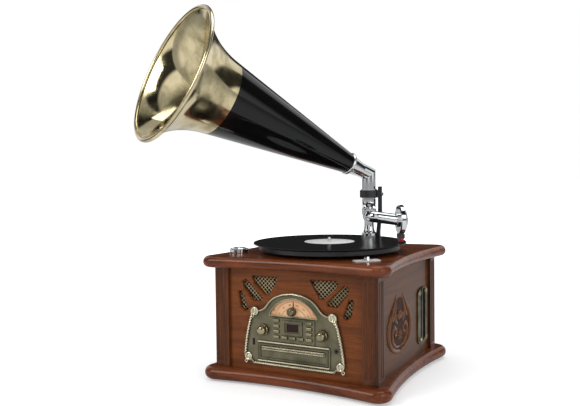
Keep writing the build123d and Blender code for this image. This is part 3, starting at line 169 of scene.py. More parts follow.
def build_wood_grain():
    tree, given, result = new_group(
        "wood_grain",
        [
            ("Vector", "NodeSocketVector", None),
            ("Dark", "NodeSocketColor", (0.05, 0.01, 0.005, 1)),
            ("Light", "NodeSocketColor", (0.3, 0.1, 0.04, 1)),
            ("Roughness", "NodeSocketFloat", 0.3),
        ],
        [("Color", "NodeSocketColor"), ("Roughness", "NodeSocketFloat"), ("Normal", "NodeSocketVector")],
    )
    vector = given.outputs["Vector"]
    figure = add_node(
        tree, "ShaderNodeTexNoise",
        {"Scale": 1.6, "Detail": 6.0, "Roughness": 0.62, "Distortion": 1.4},
    )
    streak = add_node(
        tree, "ShaderNodeTexNoise",
        {"Scale": 9.0, "Detail": 5.0, "Roughness": 0.7, "Distortion": 0.3},
    )
    pores = add_node(tree, "ShaderNodeTexNoise", {"Scale": 42.0, "Detail": 2.0, "Roughness": 0.5})
    for texture in (figure, streak, pores):
        tree.links.new(vector, texture.inputs["Vector"])
    broad = ramp(tree, figure.outputs["Fac"], [(0.32, 0.0), (0.5, 0.55), (0.7, 1.0)])
    fine = ramp(tree, streak.outputs["Fac"], [(0.35, 0.25), (0.65, 1.0)])
    pitted = ramp(tree, pores.outputs["Fac"], [(0.34, 0.45), (0.46, 1.0)])
    body = mix_colour(tree, broad, given.outputs["Dark"], given.outputs["Light"])
    body = mix_colour(tree, 0.35, body, fine, "MULTIPLY")
    body = mix_colour(tree, 0.4, body, pitted, "MULTIPLY")
    tree.links.new(body, result.inputs["Color"])
    rough = maths(tree, "MULTIPLY_ADD", streak.outputs["Fac"], 0.12, given.outputs["Roughness"])
    tree.links.new(rough, result.inputs["Roughness"])
    bump = add_node(tree, "ShaderNodeBump", {"Strength": 0.08, "Distance": 0.0004})
    tree.links.new(pitted, bump.inputs["Height"])
    tree.links.new(bump.outputs["Normal"], result.inputs["Normal"])
    return tree


def build_metal_wear():
    tree, given, result = new_group(
        "metal_wear",
        [
            ("Vector", "NodeSocketVector", None),
            ("Clean", "NodeSocketColor", (0.8, 0.8, 0.8, 1)),
            ("Dull", "NodeSocketColor", (0.5, 0.5, 0.5, 1)),
            ("Amount", "NodeSocketFloat", 0.3),
            ("Roughness", "NodeSocketFloat", 0.15),
            ("Depth", "NodeSocketFloat", 0.05),
        ],
        [("Color", "NodeSocketColor"), ("Roughness", "NodeSocketFloat"), ("Normal", "NodeSocketVector")],
    )
    vector = given.outputs["Vector"]
    cloud = add_node(
        tree, "ShaderNodeTexNoise",
        {"Scale": 22.0, "Detail": 5.0, "Roughness": 0.6, "Distortion": 0.4},
    )
    speck = add_node(tree, "ShaderNodeTexNoise", {"Scale": 240.0, "Detail": 3.0, "Roughness": 0.6})
    for texture in (cloud, speck):
        tree.links.new(vector, texture.inputs["Vector"])
    patch = ramp(tree, cloud.outputs["Fac"], [(0.42, 0.0), (0.68, 1.0)])
    mask = maths(tree, "MULTIPLY", patch, given.outputs["Amount"])
    worn = mix_colour(tree, mask, given.outputs["Clean"], given.outputs["Dull"])
    tree.links.new(worn, result.inputs["Color"])
    rough = maths(tree, "MULTIPLY_ADD", mask, 0.25, given.outputs["Roughness"])
    tree.links.new(rough, result.inputs["Roughness"])
    bump = add_node(tree, "ShaderNodeBump", {"Distance": 0.0003})
    tree.links.new(speck.outputs["Fac"], bump.inputs["Height"])
    tree.links.new(given.outputs["Depth"], bump.inputs["Strength"])
    tree.links.new(bump.outputs["Normal"], result.inputs["Normal"])
    return tree


def build_fine_grain():
    tree, given, result = new_group(
        "moulded_grain",
        [
            ("Vector", "NodeSocketVector", None),
            ("Colour", "NodeSocketColor", (0.05, 0.05, 0.05, 1)),
            ("Scale", "NodeSocketFloat", 900.0),
            ("Depth", "NodeSocketFloat", 0.15),
            ("Roughness", "NodeSocketFloat", 0.45),
        ],
        [("Color", "NodeSocketColor"), ("Roughness", "NodeSocketFloat"), ("Normal", "NodeSocketVector")],
    )
    cloud = add_node(tree, "ShaderNodeTexNoise", {"Scale": 30.0, "Detail": 3.0})
    grain = add_node(tree, "ShaderNodeTexNoise", {"Detail": 2.0})
    tree.links.new(given.outputs["Vector"], cloud.inputs["Vector"])
    tree.links.new(given.outputs["Vector"], grain.inputs["Vector"])
    tree.links.new(given.outputs["Scale"], grain.inputs["Scale"])
    tone = ramp(tree, cloud.outputs["Fac"], [(0.3, 0.82), (0.7, 1.0)])
    toned = mix_colour(tree, 1.0, given.outputs["Colour"], tone, "MULTIPLY")
    tree.links.new(toned, result.inputs["Color"])
    rough = maths(tree, "MULTIPLY_ADD", cloud.outputs["Fac"], 0.1, given.outputs["Roughness"])
    tree.links.new(rough, result.inputs["Roughness"])
    bump = add_node(tree, "ShaderNodeBump", {"Distance": 0.0002})
    tree.links.new(grain.outputs["Fac"], bump.inputs["Height"])
    tree.links.new(given.outputs["Depth"], bump.inputs["Strength"])
    tree.links.new(bump.outputs["Normal"], result.inputs["Normal"])
    return tree


wood_grain = build_wood_grain()
metal_wear = build_metal_wear()
moulded_grain = build_fine_grain()
ALL_THREE = {"Color": "Base Color", "Roughness": "Roughness", "Normal": "Normal"}


# Finishes

def wood(name, dark, light, along, roughness=0.3, coat=0.14):
    """Polished wood; along is the axis that the grain follows."""
    material, tree, surface = new_material(name, light, coat=coat, coat_roughness=0.12)
    surface.inputs["Specular IOR Level"].default_value = 0.15
    across_grain = 26.0
    along_grain = 2.2
    scale = [across_grain] * 3
    scale["XYZ".index(along)] = along_grain
    use_group(
        tree, wood_grain, surface, place(tree, tuple(scale)), ALL_THREE,
        Dark=dark, Light=light, Roughness=roughness,
    )
    return material


def metal(name, clean, dull, amount, roughness, depth):
    """Plated or polished metal with dull patches."""
    material, tree, surface = new_material(name, clean, metallic=1.0)
    use_group(
        tree, metal_wear, surface, place(tree), ALL_THREE,
        Clean=clean, Dull=dull, Amount=amount, Roughness=roughness, Depth=depth,
    )
    return material


def moulded(name, colour, roughness=0.45, depth=0.12, scale=900.0, coat=0.0, specular=0.5):
    """Plastic, rubber, paint or card with a fine moulded grain."""
    material, tree, surface = new_material(name, colour, coat=coat)
    surface.inputs["Specular IOR Level"].default_value = specular
    use_group(
        tree, moulded_grain, surface, place(tree), ALL_THREE,
        Colour=colour, Scale=scale, Depth=depth, Roughness=roughness,
    )
    return material


def antique_bronze():
    """Olive cast bronze: raised parts rubbed to brass, hollows dark."""
    material, tree, surface = new_material("antique_bronze_cast", (0.2, 0.19, 0.12), metallic=0.75)
    wear = use_group(
        tree, metal_wear, surface, place(tree), {"Normal": "Normal"},
        Clean=(0.190, 0.172, 0.105), Dull=(0.085, 0.082, 0.050), Amount=0.8, Roughness=0.36, Depth=0.25,
    )
    occlusion = add_node(tree, "ShaderNodeAmbientOcclusion", {"Distance": 0.006}, samples=8)
    hollow = ramp(tree, occlusion.outputs["AO"], [(0.35, 0.12), (0.92, 1.0)])
    rub_from = -0.1654
    rub_to = -0.1660
    rub_rise = 4000.0
    depth = split_xyz(tree, place(tree))["Y"]
    raised = maths(tree, "MULTIPLY", maths(tree, "SUBTRACT", rub_from, depth), rub_rise)
    raised = maths(tree, "MULTIPLY", raised, maths(tree, "GREATER_THAN", depth, rub_to))
    held = add_node(tree, "ShaderNodeClamp")
    tree.links.new(raised, held.inputs[0])
    rubbed = maths(tree, "MULTIPLY", held.outputs[0], 0.35)
    colour = mix_colour(tree, rubbed, wear.outputs["Color"], (0.66, 0.60, 0.41))
    tree.links.new(mix_colour(tree, 1.0, colour, hollow, "MULTIPLY"), surface.inputs["Base Color"])
    tree.links.new(wear.outputs["Roughness"], surface.inputs["Roughness"])
    return material


def vinyl():
    """Pressed record: fine grooves, track gaps and a blank paper label."""
    material, tree, surface = new_material("record_vinyl", (0.008, 0.008, 0.009), roughness=0.2)
    surface.inputs["Specular IOR Level"].default_value = 0.12
    centred = place(tree, shift=(-DISC_CENTRE[0], -DISC_CENTRE[1], 0))
    parts = split_xyz(tree, centred)
    radius = distance(tree, parts["X"], parts["Y"])
    # Radians of each wave for a metre of radius
    groove_rate = 5200.0
    gap_rate = 385.0
    groove = maths(tree, "SINE", maths(tree, "MULTIPLY", radius, groove_rate))
    gap_wave = maths(tree, "SINE", maths(tree, "MULTIPLY", radius, gap_rate))
    gap = ramp(tree, gap_wave, [(0.965, 0.0), (0.985, 1.0)])
    paper = maths(tree, "LESS_THAN", radius, LABEL_RADIUS)
    noise = add_node(tree, "ShaderNodeTexNoise", {"Scale": 160.0, "Detail": 4.0})
    tree.links.new(centred, noise.inputs["Vector"])
    paper_tone = ramp(tree, noise.outputs["Fac"], [(0.3, (0.78, 0.77, 0.74)), (0.7, (0.88, 0.87, 0.85))])
    from_ring = maths(tree, "ABSOLUTE", maths(tree, "SUBTRACT", radius, LABEL_RING_RADIUS))
    pressed = maths(tree, "LESS_THAN", from_ring, 0.0005)
    paper_tone = mix_colour(tree, pressed, paper_tone, (0.5, 0.5, 0.5))
    black = mix_colour(tree, gap, (0.004, 0.004, 0.005), (0.014, 0.014, 0.015))
    tree.links.new(mix_colour(tree, paper, black, paper_tone), surface.inputs["Base Color"])
    rough = maths(tree, "MULTIPLY_ADD", paper, 0.45, maths(tree, "MULTIPLY_ADD", gap, -0.08, 0.18))
    tree.links.new(rough, surface.inputs["Roughness"])
    relief = maths(tree, "MULTIPLY", groove, maths(tree, "SUBTRACT", 1.0, paper))
    bump = add_node(tree, "ShaderNodeBump", {"Strength": 0.12, "Distance": 0.0001})
    tree.links.new(relief, bump.inputs["Height"])
    tree.links.new(bump.outputs["Normal"], surface.inputs["Normal"])
    return material


def dial_card():
    """Amber scale with a painted backlight, brighter in the middle and darker to the edge, two scale rings
    and radial ticks.
    """
    material, tree, surface = new_material("dial_card", (0.9, 0.55, 0.25), roughness=0.35, coat=0.6)
    parts = split_xyz(tree, place(tree, shift=(0, 0, -DIAL_Z)))
    radius = distance(tree, parts["X"], parts["Z"])
    angle = maths(tree, "ARCTAN2", parts["Z"], parts["X"])
    outward = maths(tree, "MULTIPLY", radius, 20.0)
    painted_backlight = ramp(tree, outward, [(0.15, (0.80, 0.53, 0.31)), (0.9, (0.56, 0.29, 0.13))])
    ticks_round = 72.0
    ticks = maths(tree, "COSINE", maths(tree, "MULTIPLY", angle, ticks_round))
    tick = maths(tree, "GREATER_THAN", ticks, 0.8)
    marks = None
    for ring_radius, width in ((0.0405, 0.0028), (0.0285, 0.0024)):
        offset = maths(tree, "SUBTRACT", radius, ring_radius)
        near = maths(tree, "LESS_THAN", maths(tree, "ABSOLUTE", offset), width / 2)
        from_line = maths(tree, "ABSOLUTE", maths(tree, "ADD", offset, width / 2))
        line = maths(tree, "LESS_THAN", from_line, 0.0003)
        found = maths(tree, "MAXIMUM", line, maths(tree, "MULTIPLY", near, tick))
        marks = found if marks is None else maths(tree, "MAXIMUM", marks, found)
    ink = mix_colour(tree, marks, painted_backlight, (0.22, 0.07, 0.03))
    tree.links.new(ink, surface.inputs["Base Color"])
    # Painted glow: the card emits its own colour, though no lamp lights it from behind.
    tree.links.new(ink, surface.inputs["Emission Color"])
    surface.inputs["Emission Strength"].default_value = 0.25
    return material


def knurled_brass(name, x, z):
    """Turned brass knob with a knurled skirt round its own axis."""
    material, tree, surface = new_material(name, (0.5, 0.42, 0.24), metallic=1.0)
    wear = use_group(
        tree, metal_wear, surface, place(tree), {"Color": "Base Color", "Roughness": "Roughness"},
        Clean=(0.40, 0.35, 0.22), Dull=(0.06, 0.052, 0.03), Amount=0.95, Roughness=0.12, Depth=0.05,
    )
    ridges = 36.0
    parts = split_xyz(tree, place(tree, shift=(-x, 0, -z)))
    angle = maths(tree, "ARCTAN2", parts["Z"], parts["X"])
    ridge = maths(tree, "SINE", maths(tree, "MULTIPLY", angle, ridges))
    skirt = maths(tree, "GREATER_THAN", parts["Y"], -FASCIA_FACE - KNOB_SKIRT)
    bump = add_node(tree, "ShaderNodeBump", {"Strength": 0.8, "Distance": 0.0006})
    tree.links.new(maths(tree, "MULTIPLY", ridge, skirt), bump.inputs["Height"])
    tree.links.new(wear.outputs["Normal"], bump.inputs["Normal"])
    tree.links.new(bump.outputs["Normal"], surface.inputs["Normal"])
    return material


def circuit_board():
    """Green board with lighter tracks in squares."""
    material, tree, surface = new_material(
        "circuit_board_green", (0.03, 0.16, 0.07), roughness=0.35, coat=0.3,
    )
    cells = add_node(tree, "ShaderNodeTexVoronoi", {"Scale": 160.0}, distance="CHEBYCHEV", feature="F1")
    tree.links.new(place(tree), cells.inputs["Vector"])
    track = ramp(tree, cells.outputs["Distance"], [(0.40, 0.0), (0.44, 1.0)])
    tracks = mix_colour(tree, track, (0.02, 0.12, 0.05), (0.05, 0.25, 0.11))
    tree.links.new(tracks, surface.inputs["Base Color"])
    return material


finishes = {
    # Name, dark and light colours, axis of the grain, roughness and coat
    "board_wood": wood("board_mahogany", (0.100, 0.023, 0.006), (0.250, 0.062, 0.017), "X", 0.22, 0.26),
    "post_wood": wood("post_mahogany", (0.046, 0.013, 0.003), (0.165, 0.048, 0.012), "Z", 0.26, 0.2),
    "panel_wood": wood("panel_mahogany", (0.120, 0.031, 0.006), (0.250, 0.068, 0.012), "X"),
    "side_wood": wood("side_mahogany", (0.070, 0.022, 0.004), (0.165, 0.054, 0.011), "Y"),
    "back_wood": wood("back_board", (0.16, 0.09, 0.05), (0.34, 0.21, 0.12), "X", 0.6, 0.0),
    "carved": wood("carved_mahogany", (0.070, 0.022, 0.005), (0.250, 0.088, 0.022), "Z", 0.26, 0.3),
    # Dark wood under the side carvings: painted shade of a sunk field.
    "shade_ground": wood("carving_painted_shade", (0.026, 0.009, 0.004), (0.070, 0.024, 0.010), "Y", 0.5, 0.0),
    # Name, clean and dull colours, share of dull, roughness and depth of the specks
    "chrome": metal("chrome_plate", (0.72, 0.74, 0.75), (0.42, 0.43, 0.45), 0.35, 0.05, 0.01),
    "steel": metal("sheet_steel_plate", (0.50, 0.50, 0.50), (0.32, 0.32, 0.33), 0.5, 0.35, 0.06),
    "bell": metal("bell_brass_polished", (0.70, 0.60, 0.37), (0.24, 0.20, 0.09), 0.75, 0.08, 0.02),
    "brass": metal("small_brass", (0.58, 0.46, 0.22), (0.26, 0.19, 0.08), 0.6, 0.24, 0.08),
    "gilt": metal("gilt_wire", (0.74, 0.62, 0.40), (0.46, 0.36, 0.20), 0.5, 0.42, 0.05),
    "bright": metal("bright_rim_brass", (0.86, 0.80, 0.60), (0.50, 0.45, 0.28), 0.6, 0.24, 0.05),
    "rubbed": metal("rubbed_bronze", (0.56, 0.50, 0.31), (0.17, 0.16, 0.09), 0.75, 0.28, 0.15),
    "button": metal("button_bronze", (0.27, 0.25, 0.155), (0.09, 0.088, 0.055), 0.8, 0.26, 0.12),
    "bezel": metal("bezel_bronze", (0.16, 0.14, 0.085), (0.05, 0.046, 0.028), 0.8, 0.32, 0.2),
    # Name, colour, roughness, depth and scale of the grain, coat and specular level
    "rim": moulded("platter_black_rim", (0.012, 0.012, 0.013), 0.3, 0.03, 700.0),
    "black": moulded("black_enamel", (0.004, 0.004, 0.004), 0.10, 0.01, 900.0, 0.45, 0.1),
    "bracket": moulded("black_bracket_paint", (0.015, 0.015, 0.016), 0.3, 0.05, 700.0, 0.2),
    "plastic": moulded("black_plastic", (0.022, 0.022, 0.023), 0.42, 0.2),
    "ivory": moulded("ivory_plate", (0.70, 0.70, 0.68), 0.35, 0.03, 700.0),
    "rubber": moulded("black_rubber", (0.020, 0.020, 0.020), 0.7, 0.3, 500.0),
    "paper": moulded("speaker_paper", (0.018, 0.018, 0.019), 0.8, 0.5, 300.0),
    "red": moulded("stylus_red", (0.55, 0.012, 0.014), 0.25, 0.05, 900.0, 0.4),
    "glass": moulded("display_glass", (0.030, 0.012, 0.012), 0.14, 0.01, 900.0, specular=0.15),
    "ink": moulded("printed_ink", (0.10, 0.03, 0.015), 0.6, 0.02),
    # Finishes with a pattern of their own
    "bronze": antique_bronze(),
    "vinyl": vinyl(),
    "dial": dial_card(),
    "circuit": circuit_board(),
    "tuner": knurled_brass("tuner_knob_brass", 0.0, TUNER_Z),
    "volume": knurled_brass("volume_knob_brass", -SIDE_KNOB_X, SIDE_KNOB_Z),
    "function": knurled_brass("function_knob_brass", SIDE_KNOB_X, SIDE_KNOB_Z),
}

node_finish = {
    "base_board": "board_wood", "top_board": "board_wood", "rubber_feet": "rubber",
    "corner_posts": "post_wood", "front_panel": "panel_wood", "left_panel": "side_wood",
    "right_panel": "side_wood", "back_panel": "back_wood", "speaker_meshes": "gilt",
    "speakers": "paper", "fascia_plate": "bronze", "dial_face": "dial", "dial_pointer": "ink",
    "display_windows": "glass", "tuner_knob": "tuner", "volume_knob": "volume",
    "function_knob": "function", "control_board": "circuit", "headphone_jack": "plastic",
    "cd_tray": "bronze", "cd_drive": "steel", "cassette_bezel": "bezel",
    "cassette_mechanism": "plastic", "cassette_key": "brass", "platter": "rim",
    "platter_mat": "rubber", "record": "vinyl", "spindle": "chrome", "spindle_bearing": "brass",
    "turntable_motor": "steel", "motor_pulley": "brass", "drive_belt": "rubber",
    "record_adapter": "chrome", "speed_plate": "ivory", "speed_lever": "chrome",
    "arm_pedestal": "chrome", "arm_elbow": "chrome", "tonearm_tube": "chrome",
    "gooseneck": "chrome", "soundbox": "chrome", "cartridge": "plastic", "stylus": "red",
    "horn_bracket": "bracket", "screws": "chrome", "horn_elbow": "chrome", "horn_cone": "black",
    "horn_bell": "bell", "main_board": "circuit", "rear_fittings": "plastic",
}
for name, node in nodes.items():
    key = node_finish.get(name, "button" if name.startswith("button") else "rubbed")
    for holder in node.material_slots:
        holder.material = finishes[key]


# Modelling helpers

def deselect():
    if bpy.context.object and bpy.context.object.mode != "OBJECT":
        bpy.ops.object.mode_set(mode="OBJECT")
    bpy.ops.object.select_all(action="DESELECT")


def settle(piece, name, finish, body):
    """Names a finished piece, applies its place, and hands it its finish, body and slot."""
    deselect()
    piece.select_set(True)
    bpy.context.view_layer.objects.active = piece
    bpy.ops.object.transform_apply(location=True, rotation=True, scale=True)
    piece.name = name
    piece.data.name = name
    piece.data.materials.clear()
    piece.data.materials.append(finishes[finish])
    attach(piece, body)
    return piece


def join(pieces):
    deselect()
    for piece in pieces:
        piece.select_set(True)
    bpy.context.view_layer.objects.active = pieces[0]
    bpy.ops.object.join()
    return pieces[0]


def copies(source, matrices):
    """Copies a modelled piece to each place, and joins them."""
    made = []
    for matrix in matrices:
        twin = source.copy()
        twin.data = source.data.copy()
        twin.matrix_world = matrix
        bpy.context.scene.collection.objects.link(twin)
        made.append(twin)
    bpy.data.objects.remove(source)
    return join(made)


def arc_points(start, middle, end, count):
    """Points along the circle through three points of a plane."""
    (ax, ay), (bx, by), (cx, cy) = start, middle, end
    a_square = ax * ax + ay * ay
    b_square = bx * bx + by * by
    c_square = cx * cx + cy * cy
    d = 2 * (ax * (by - cy) + bx * (cy - ay) + cx * (ay - by))
    ux = (a_square * (by - cy) + b_square * (cy - ay) + c_square * (ay - by)) / d
    uy = (a_square * (cx - bx) + b_square * (ax - cx) + c_square * (bx - ax)) / d
    first = math.atan2(ay - uy, ax - ux)
    mid = (math.atan2(by - uy, bx - ux) - first) % math.tau
    last = (math.atan2(cy - uy, cx - ux) - first) % math.tau
    if mid > last:
        last -= math.tau
    radius = math.hypot(ax - ux, ay - uy)
    return [
        (ux + radius * math.cos(first + last * i / count), uy + radius * math.sin(first + last * i / count))
        for i in range(count + 1)
    ]


def front(x, depth, z):
    """A place in front of the fascia: depth in mm out from the front panel's face."""
    return Vector((x / 1000, -PANEL_FACE - depth / 1000, z / 1000))


def rope(name, path, depth, radius, body, lean=0.75, pitch=1.2):
    """Twisted cord moulding along a path of (x, z) points in mm: one slanted bead, repeated.

    pitch is the beads' spacing as a share of their radius.
    """
    deselect()
    bpy.ops.mesh.primitive_uv_sphere_add(segments=10, ring_count=6, radius=radius / 1000)
    bead = bpy.context.object
    bead.scale = (1.55, 0.8, 0.62)
    bpy.ops.object.transform_apply(location=False, rotation=False, scale=True)
    places = []
    spacing = radius * pitch
    travelled = 0.0
    wanted = 0.0
    for (x0, z0), (x1, z1) in zip(path, path[1:]):
        length = math.hypot(x1 - x0, z1 - z0)
        angle = math.atan2(z1 - z0, x1 - x0)
        while wanted <= travelled + length:
            part = (wanted - travelled) / length
            spot = front(x0 + (x1 - x0) * part, depth, z0 + (z1 - z0) * part)
            places.append(Matrix.Translation(spot) @ Matrix.Rotation(-(angle + lean), 4, "Y"))
            wanted += spacing
        travelled += length
    settle(copies(bead, places), name, "bright", body)


def ring(radius, thickness, spot, turn):
    """A flattened torus moulding."""
    deselect()
    bpy.ops.mesh.primitive_torus_add(
        major_radius=radius / 1000, minor_radius=thickness / 1000,
        major_segments=40, minor_segments=10, location=spot, rotation=turn,
    )
    return bpy.context.object


def tube(points, radii):
    """A round bar through points in metres; its radius at each is in mm."""
    deselect()
    bpy.ops.curve.primitive_nurbs_path_add()
    path = bpy.context.object
    bpy.ops.object.mode_set(mode="EDIT")
    bpy.ops.curve.select_all(action="SELECT")
    bpy.ops.curve.subdivide(number_cuts=5)
    bpy.ops.object.mode_set(mode="OBJECT")
    spline = path.data.splines[0]
    total = len(spline.points)
    for index, point in enumerate(spline.points):
        along = index / (total - 1) * (len(points) - 1)
        low = min(int(along), len(points) - 2)
        part = along - low
        point.co = (*Vector(points[low]).lerp(Vector(points[low + 1]), part), 1)
        point.radius = radii[low] + (radii[low + 1] - radii[low]) * part
    path.data.bevel_depth = 0.001
    path.data.bevel_resolution = 2
    path.data.resolution_u = 3
    path.data.use_fill_caps = True
    bpy.ops.object.convert(target="MESH")
    return bpy.context.object


def stem(points, radii, squash=0.75):
    """A tapering carved stem through (y, z) points in mm, lying on the plane x = 0."""
    piece = tube([(0, y / 1000, z / 1000) for y, z in points], radii)
    piece.scale = (squash, 1, 1)
    return piece


# Speaker mesh

def speaker_mesh(side):
    """Square wire cloth laid diagonally, trimmed to the field of the windows."""
    half_width = 0.0495
    half_height = 0.04
    trims = (
        ((half_width, 0, 0), (1, 0, 0)),
        ((-half_width, 0, 0), (-1, 0, 0)),
        ((0, half_height, 0), (0, 1, 0)),
        ((0, -half_height, 0), (0, -1, 0)),
    )
    deselect()
    bpy.ops.mesh.primitive_grid_add(x_subdivisions=24, y_subdivisions=24, size=0.135)
    sheet = bpy.context.object
    sheet.rotation_euler = (0, 0, math.radians(45))
    bpy.ops.object.transform_apply(location=False, rotation=True, scale=False)
    bpy.ops.object.mode_set(mode="EDIT")
    for spot, normal in trims:
        bpy.ops.mesh.select_all(action="SELECT")
        bpy.ops.mesh.bisect(plane_co=spot, plane_no=normal, clear_outer=True)
    bpy.ops.object.mode_set(mode="OBJECT")
    wires = sheet.modifiers.new("wires", "WIREFRAME")
    wires.thickness = 0.0017
    wires.use_even_offset = False
    bpy.ops.object.modifier_apply(modifier=wires.name)
    sheet.scale = (1, 1, 0.52)
    sheet.rotation_euler = (math.radians(90), 0, 0)
    sheet.location = (side * 0.0755, -0.151, 0.170)
    return sheet


mesh_pair = join([speaker_mesh(-1), speaker_mesh(1)])
settle(mesh_pair, "speaker_mesh_wires", "gilt", "cabinet")
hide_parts("speaker_meshes")


# Fascia mouldings, in mm

UPPER_SCROLL = (79.8, 138.6)
LOWER_SCROLL = (94.5, 52.4)
RIM_DEPTH = 5.3
ROPE_INSET = 2.2
side_path = arc_points((87.5, 133), (97, 98), (102.5, 60), 14)
for sign, word in ((-1, "left"), (1, "right")):
    path = [((x - ROPE_INSET) * sign, z) for x, z in side_path]
    rope(f"fascia_rope_{word}", path, 5.2, 2.5, "cabinet", lean=0.75 * sign, pitch=2.1)
# Name, half length, height, depth, radius, body and pitch of each level rope
level_ropes = (
    ("fascia_rope_foot", 80, 42.2, 5.0, 2.0, "cabinet", 2.1),
    ("tray_border_rope_top", 73, 83.0, 4.6, 1.3, "cabinet", 1.2),
    ("tray_border_rope_foot", 73, 47.4, 4.6, 1.3, "cabinet", 1.2),
    ("tray_bar_rope_top", 63, 73.4, 5.0, 1.4, "disc_tray", 2.2),
    ("tray_bar_rope_foot", 63, 69.1, 5.0, 1.4, "disc_tray", 2.2),
)
for name, half, z, depth, radius, body, pitch in level_ropes:
    rope(name, [(-half, z), (half, z)], depth, radius, body, pitch=pitch)


def scroll_rosette(x, z):
    """Volute boss: a rolled ring, a smaller ring, a domed centre and a curl below it."""
    upright = (math.radians(90), 0, 0)
    outer = ring(6.0, 1.7, front(x, 4.4, z), upright)
    inner = ring(2.9, 0.9, front(x, 4.2, z), upright)
    deselect()
    bpy.ops.mesh.primitive_uv_sphere_add(
        segments=16, ring_count=8, radius=0.0019, location=front(x, 3.9, z),
    )
    centre = bpy.context.object
    curl_out = math.copysign(5.2, x)
    curl_drop = 9.4
    curl = ring(2.6, 0.9, front(x + curl_out, 3.9, z - curl_drop), upright)
    return [outer, inner, centre, curl]


rosettes = []
for sign in (-1, 1):
    for x, z in (UPPER_SCROLL, LOWER_SCROLL):
        rosettes += scroll_rosette(sign * x, z)
settle(join(rosettes), "fascia_scroll_rosettes", "bright", "cabinet")


def rim_beads():
    """The bright line along the plate's rim: over the crown, down both sides and along the foot."""
    crown = [(0, 176), (22, 173.2), (38, 166.6), (47, 159.6), (54, 151), (61.5, 143.6), (70, 140.4)]
    flank = [(86.2, 131), (91.5, 117), (95.6, 98), (98.6, 80), (101, 60)]
    made = []
    for sign in (-1, 1):
        for line in (crown, flank):
            bead = [front(x * sign, RIM_DEPTH, z) for x, z in line]
            made.append(tube(bead, [0.9] * len(line)))
    foot_z = 41.6
    foot = [front(x, RIM_DEPTH, foot_z) for x in (-81, -40, 0, 40, 81)]
    made.append(tube(foot, [0.8] * len(foot)))
    return join(made)


settle(rim_beads(), "fascia_rim_bead", "bright", "cabinet")


def dial_bezel():
    """Half-round bead round the dial window, cut off at the window's foot."""
    radius = 54.0
    bead_radius = 1.1
    depth = 3.2
    centre_z = 113.0
    foot_z = 134.0
    upright = (math.radians(90), 0, 0)
    bead = ring(radius, bead_radius, front(0, depth, centre_z), upright)
    bpy.ops.object.transform_apply(location=True, rotation=True, scale=True)
    bpy.ops.object.mode_set(mode="EDIT")
    bpy.ops.mesh.select_all(action="SELECT")
    bpy.ops.mesh.bisect(
        plane_co=(0, 0, foot_z / 1000), plane_no=(0, 0, -1), clear_outer=True, use_fill=True,
    )
    bpy.ops.object.mode_set(mode="OBJECT")
    deselect()
    half = math.sqrt(radius ** 2 - (foot_z - centre_z) ** 2)
    bpy.ops.mesh.primitive_cylinder_add(
        vertices=12, radius=bead_radius / 1000, depth=2 * half / 1000,
    )
    bar = bpy.context.object
    bar.rotation_euler = (0, math.radians(90), 0)
    bar.location = front(0, depth, foot_z - 0.4)
    return join([bead, bar])


settle(dial_bezel(), "dial_bezel_bead", "rubbed", "cabinet")


def dial_numbers():
    """Plain scale numbers on two arcs, from left to right over the dial."""
    arcs = (
        (45.5, ("88", "92", "96", "100", "104", "108")),
        (33.5, ("53", "60", "80", "100", "130", "160")),
    )
    first_bearing = 152
    span = 124
    ink_depth = 0.06
    made = []
    for radius, values in arcs:
        for index, value in enumerate(values):
            angle = math.radians(first_bearing - index * (span / (len(values) - 1)))
            deselect()
            bpy.ops.object.text_add()
            text = bpy.context.object
            text.data.body = value
            text.data.size = 0.0046
            text.data.align_x = "CENTER"
            text.data.align_y = "CENTER"
            text.data.extrude = 0.00004
            bpy.ops.object.convert(target="MESH")
            mark = bpy.context.object
            x = radius * math.cos(angle)
            z = DIAL_Z * 1000 + radius * math.sin(angle)
            mark.matrix_world = (
                Matrix.Translation(front(x, ink_depth, z))
                @ Matrix.Rotation(math.pi / 2 - angle, 4, "Y")
                @ Matrix.Rotation(math.pi / 2, 4, "X")
            )
            made.append(mark)
    return join(made)


settle(dial_numbers(), "dial_numbers", "ink", "cabinet")


# Carved side ornament

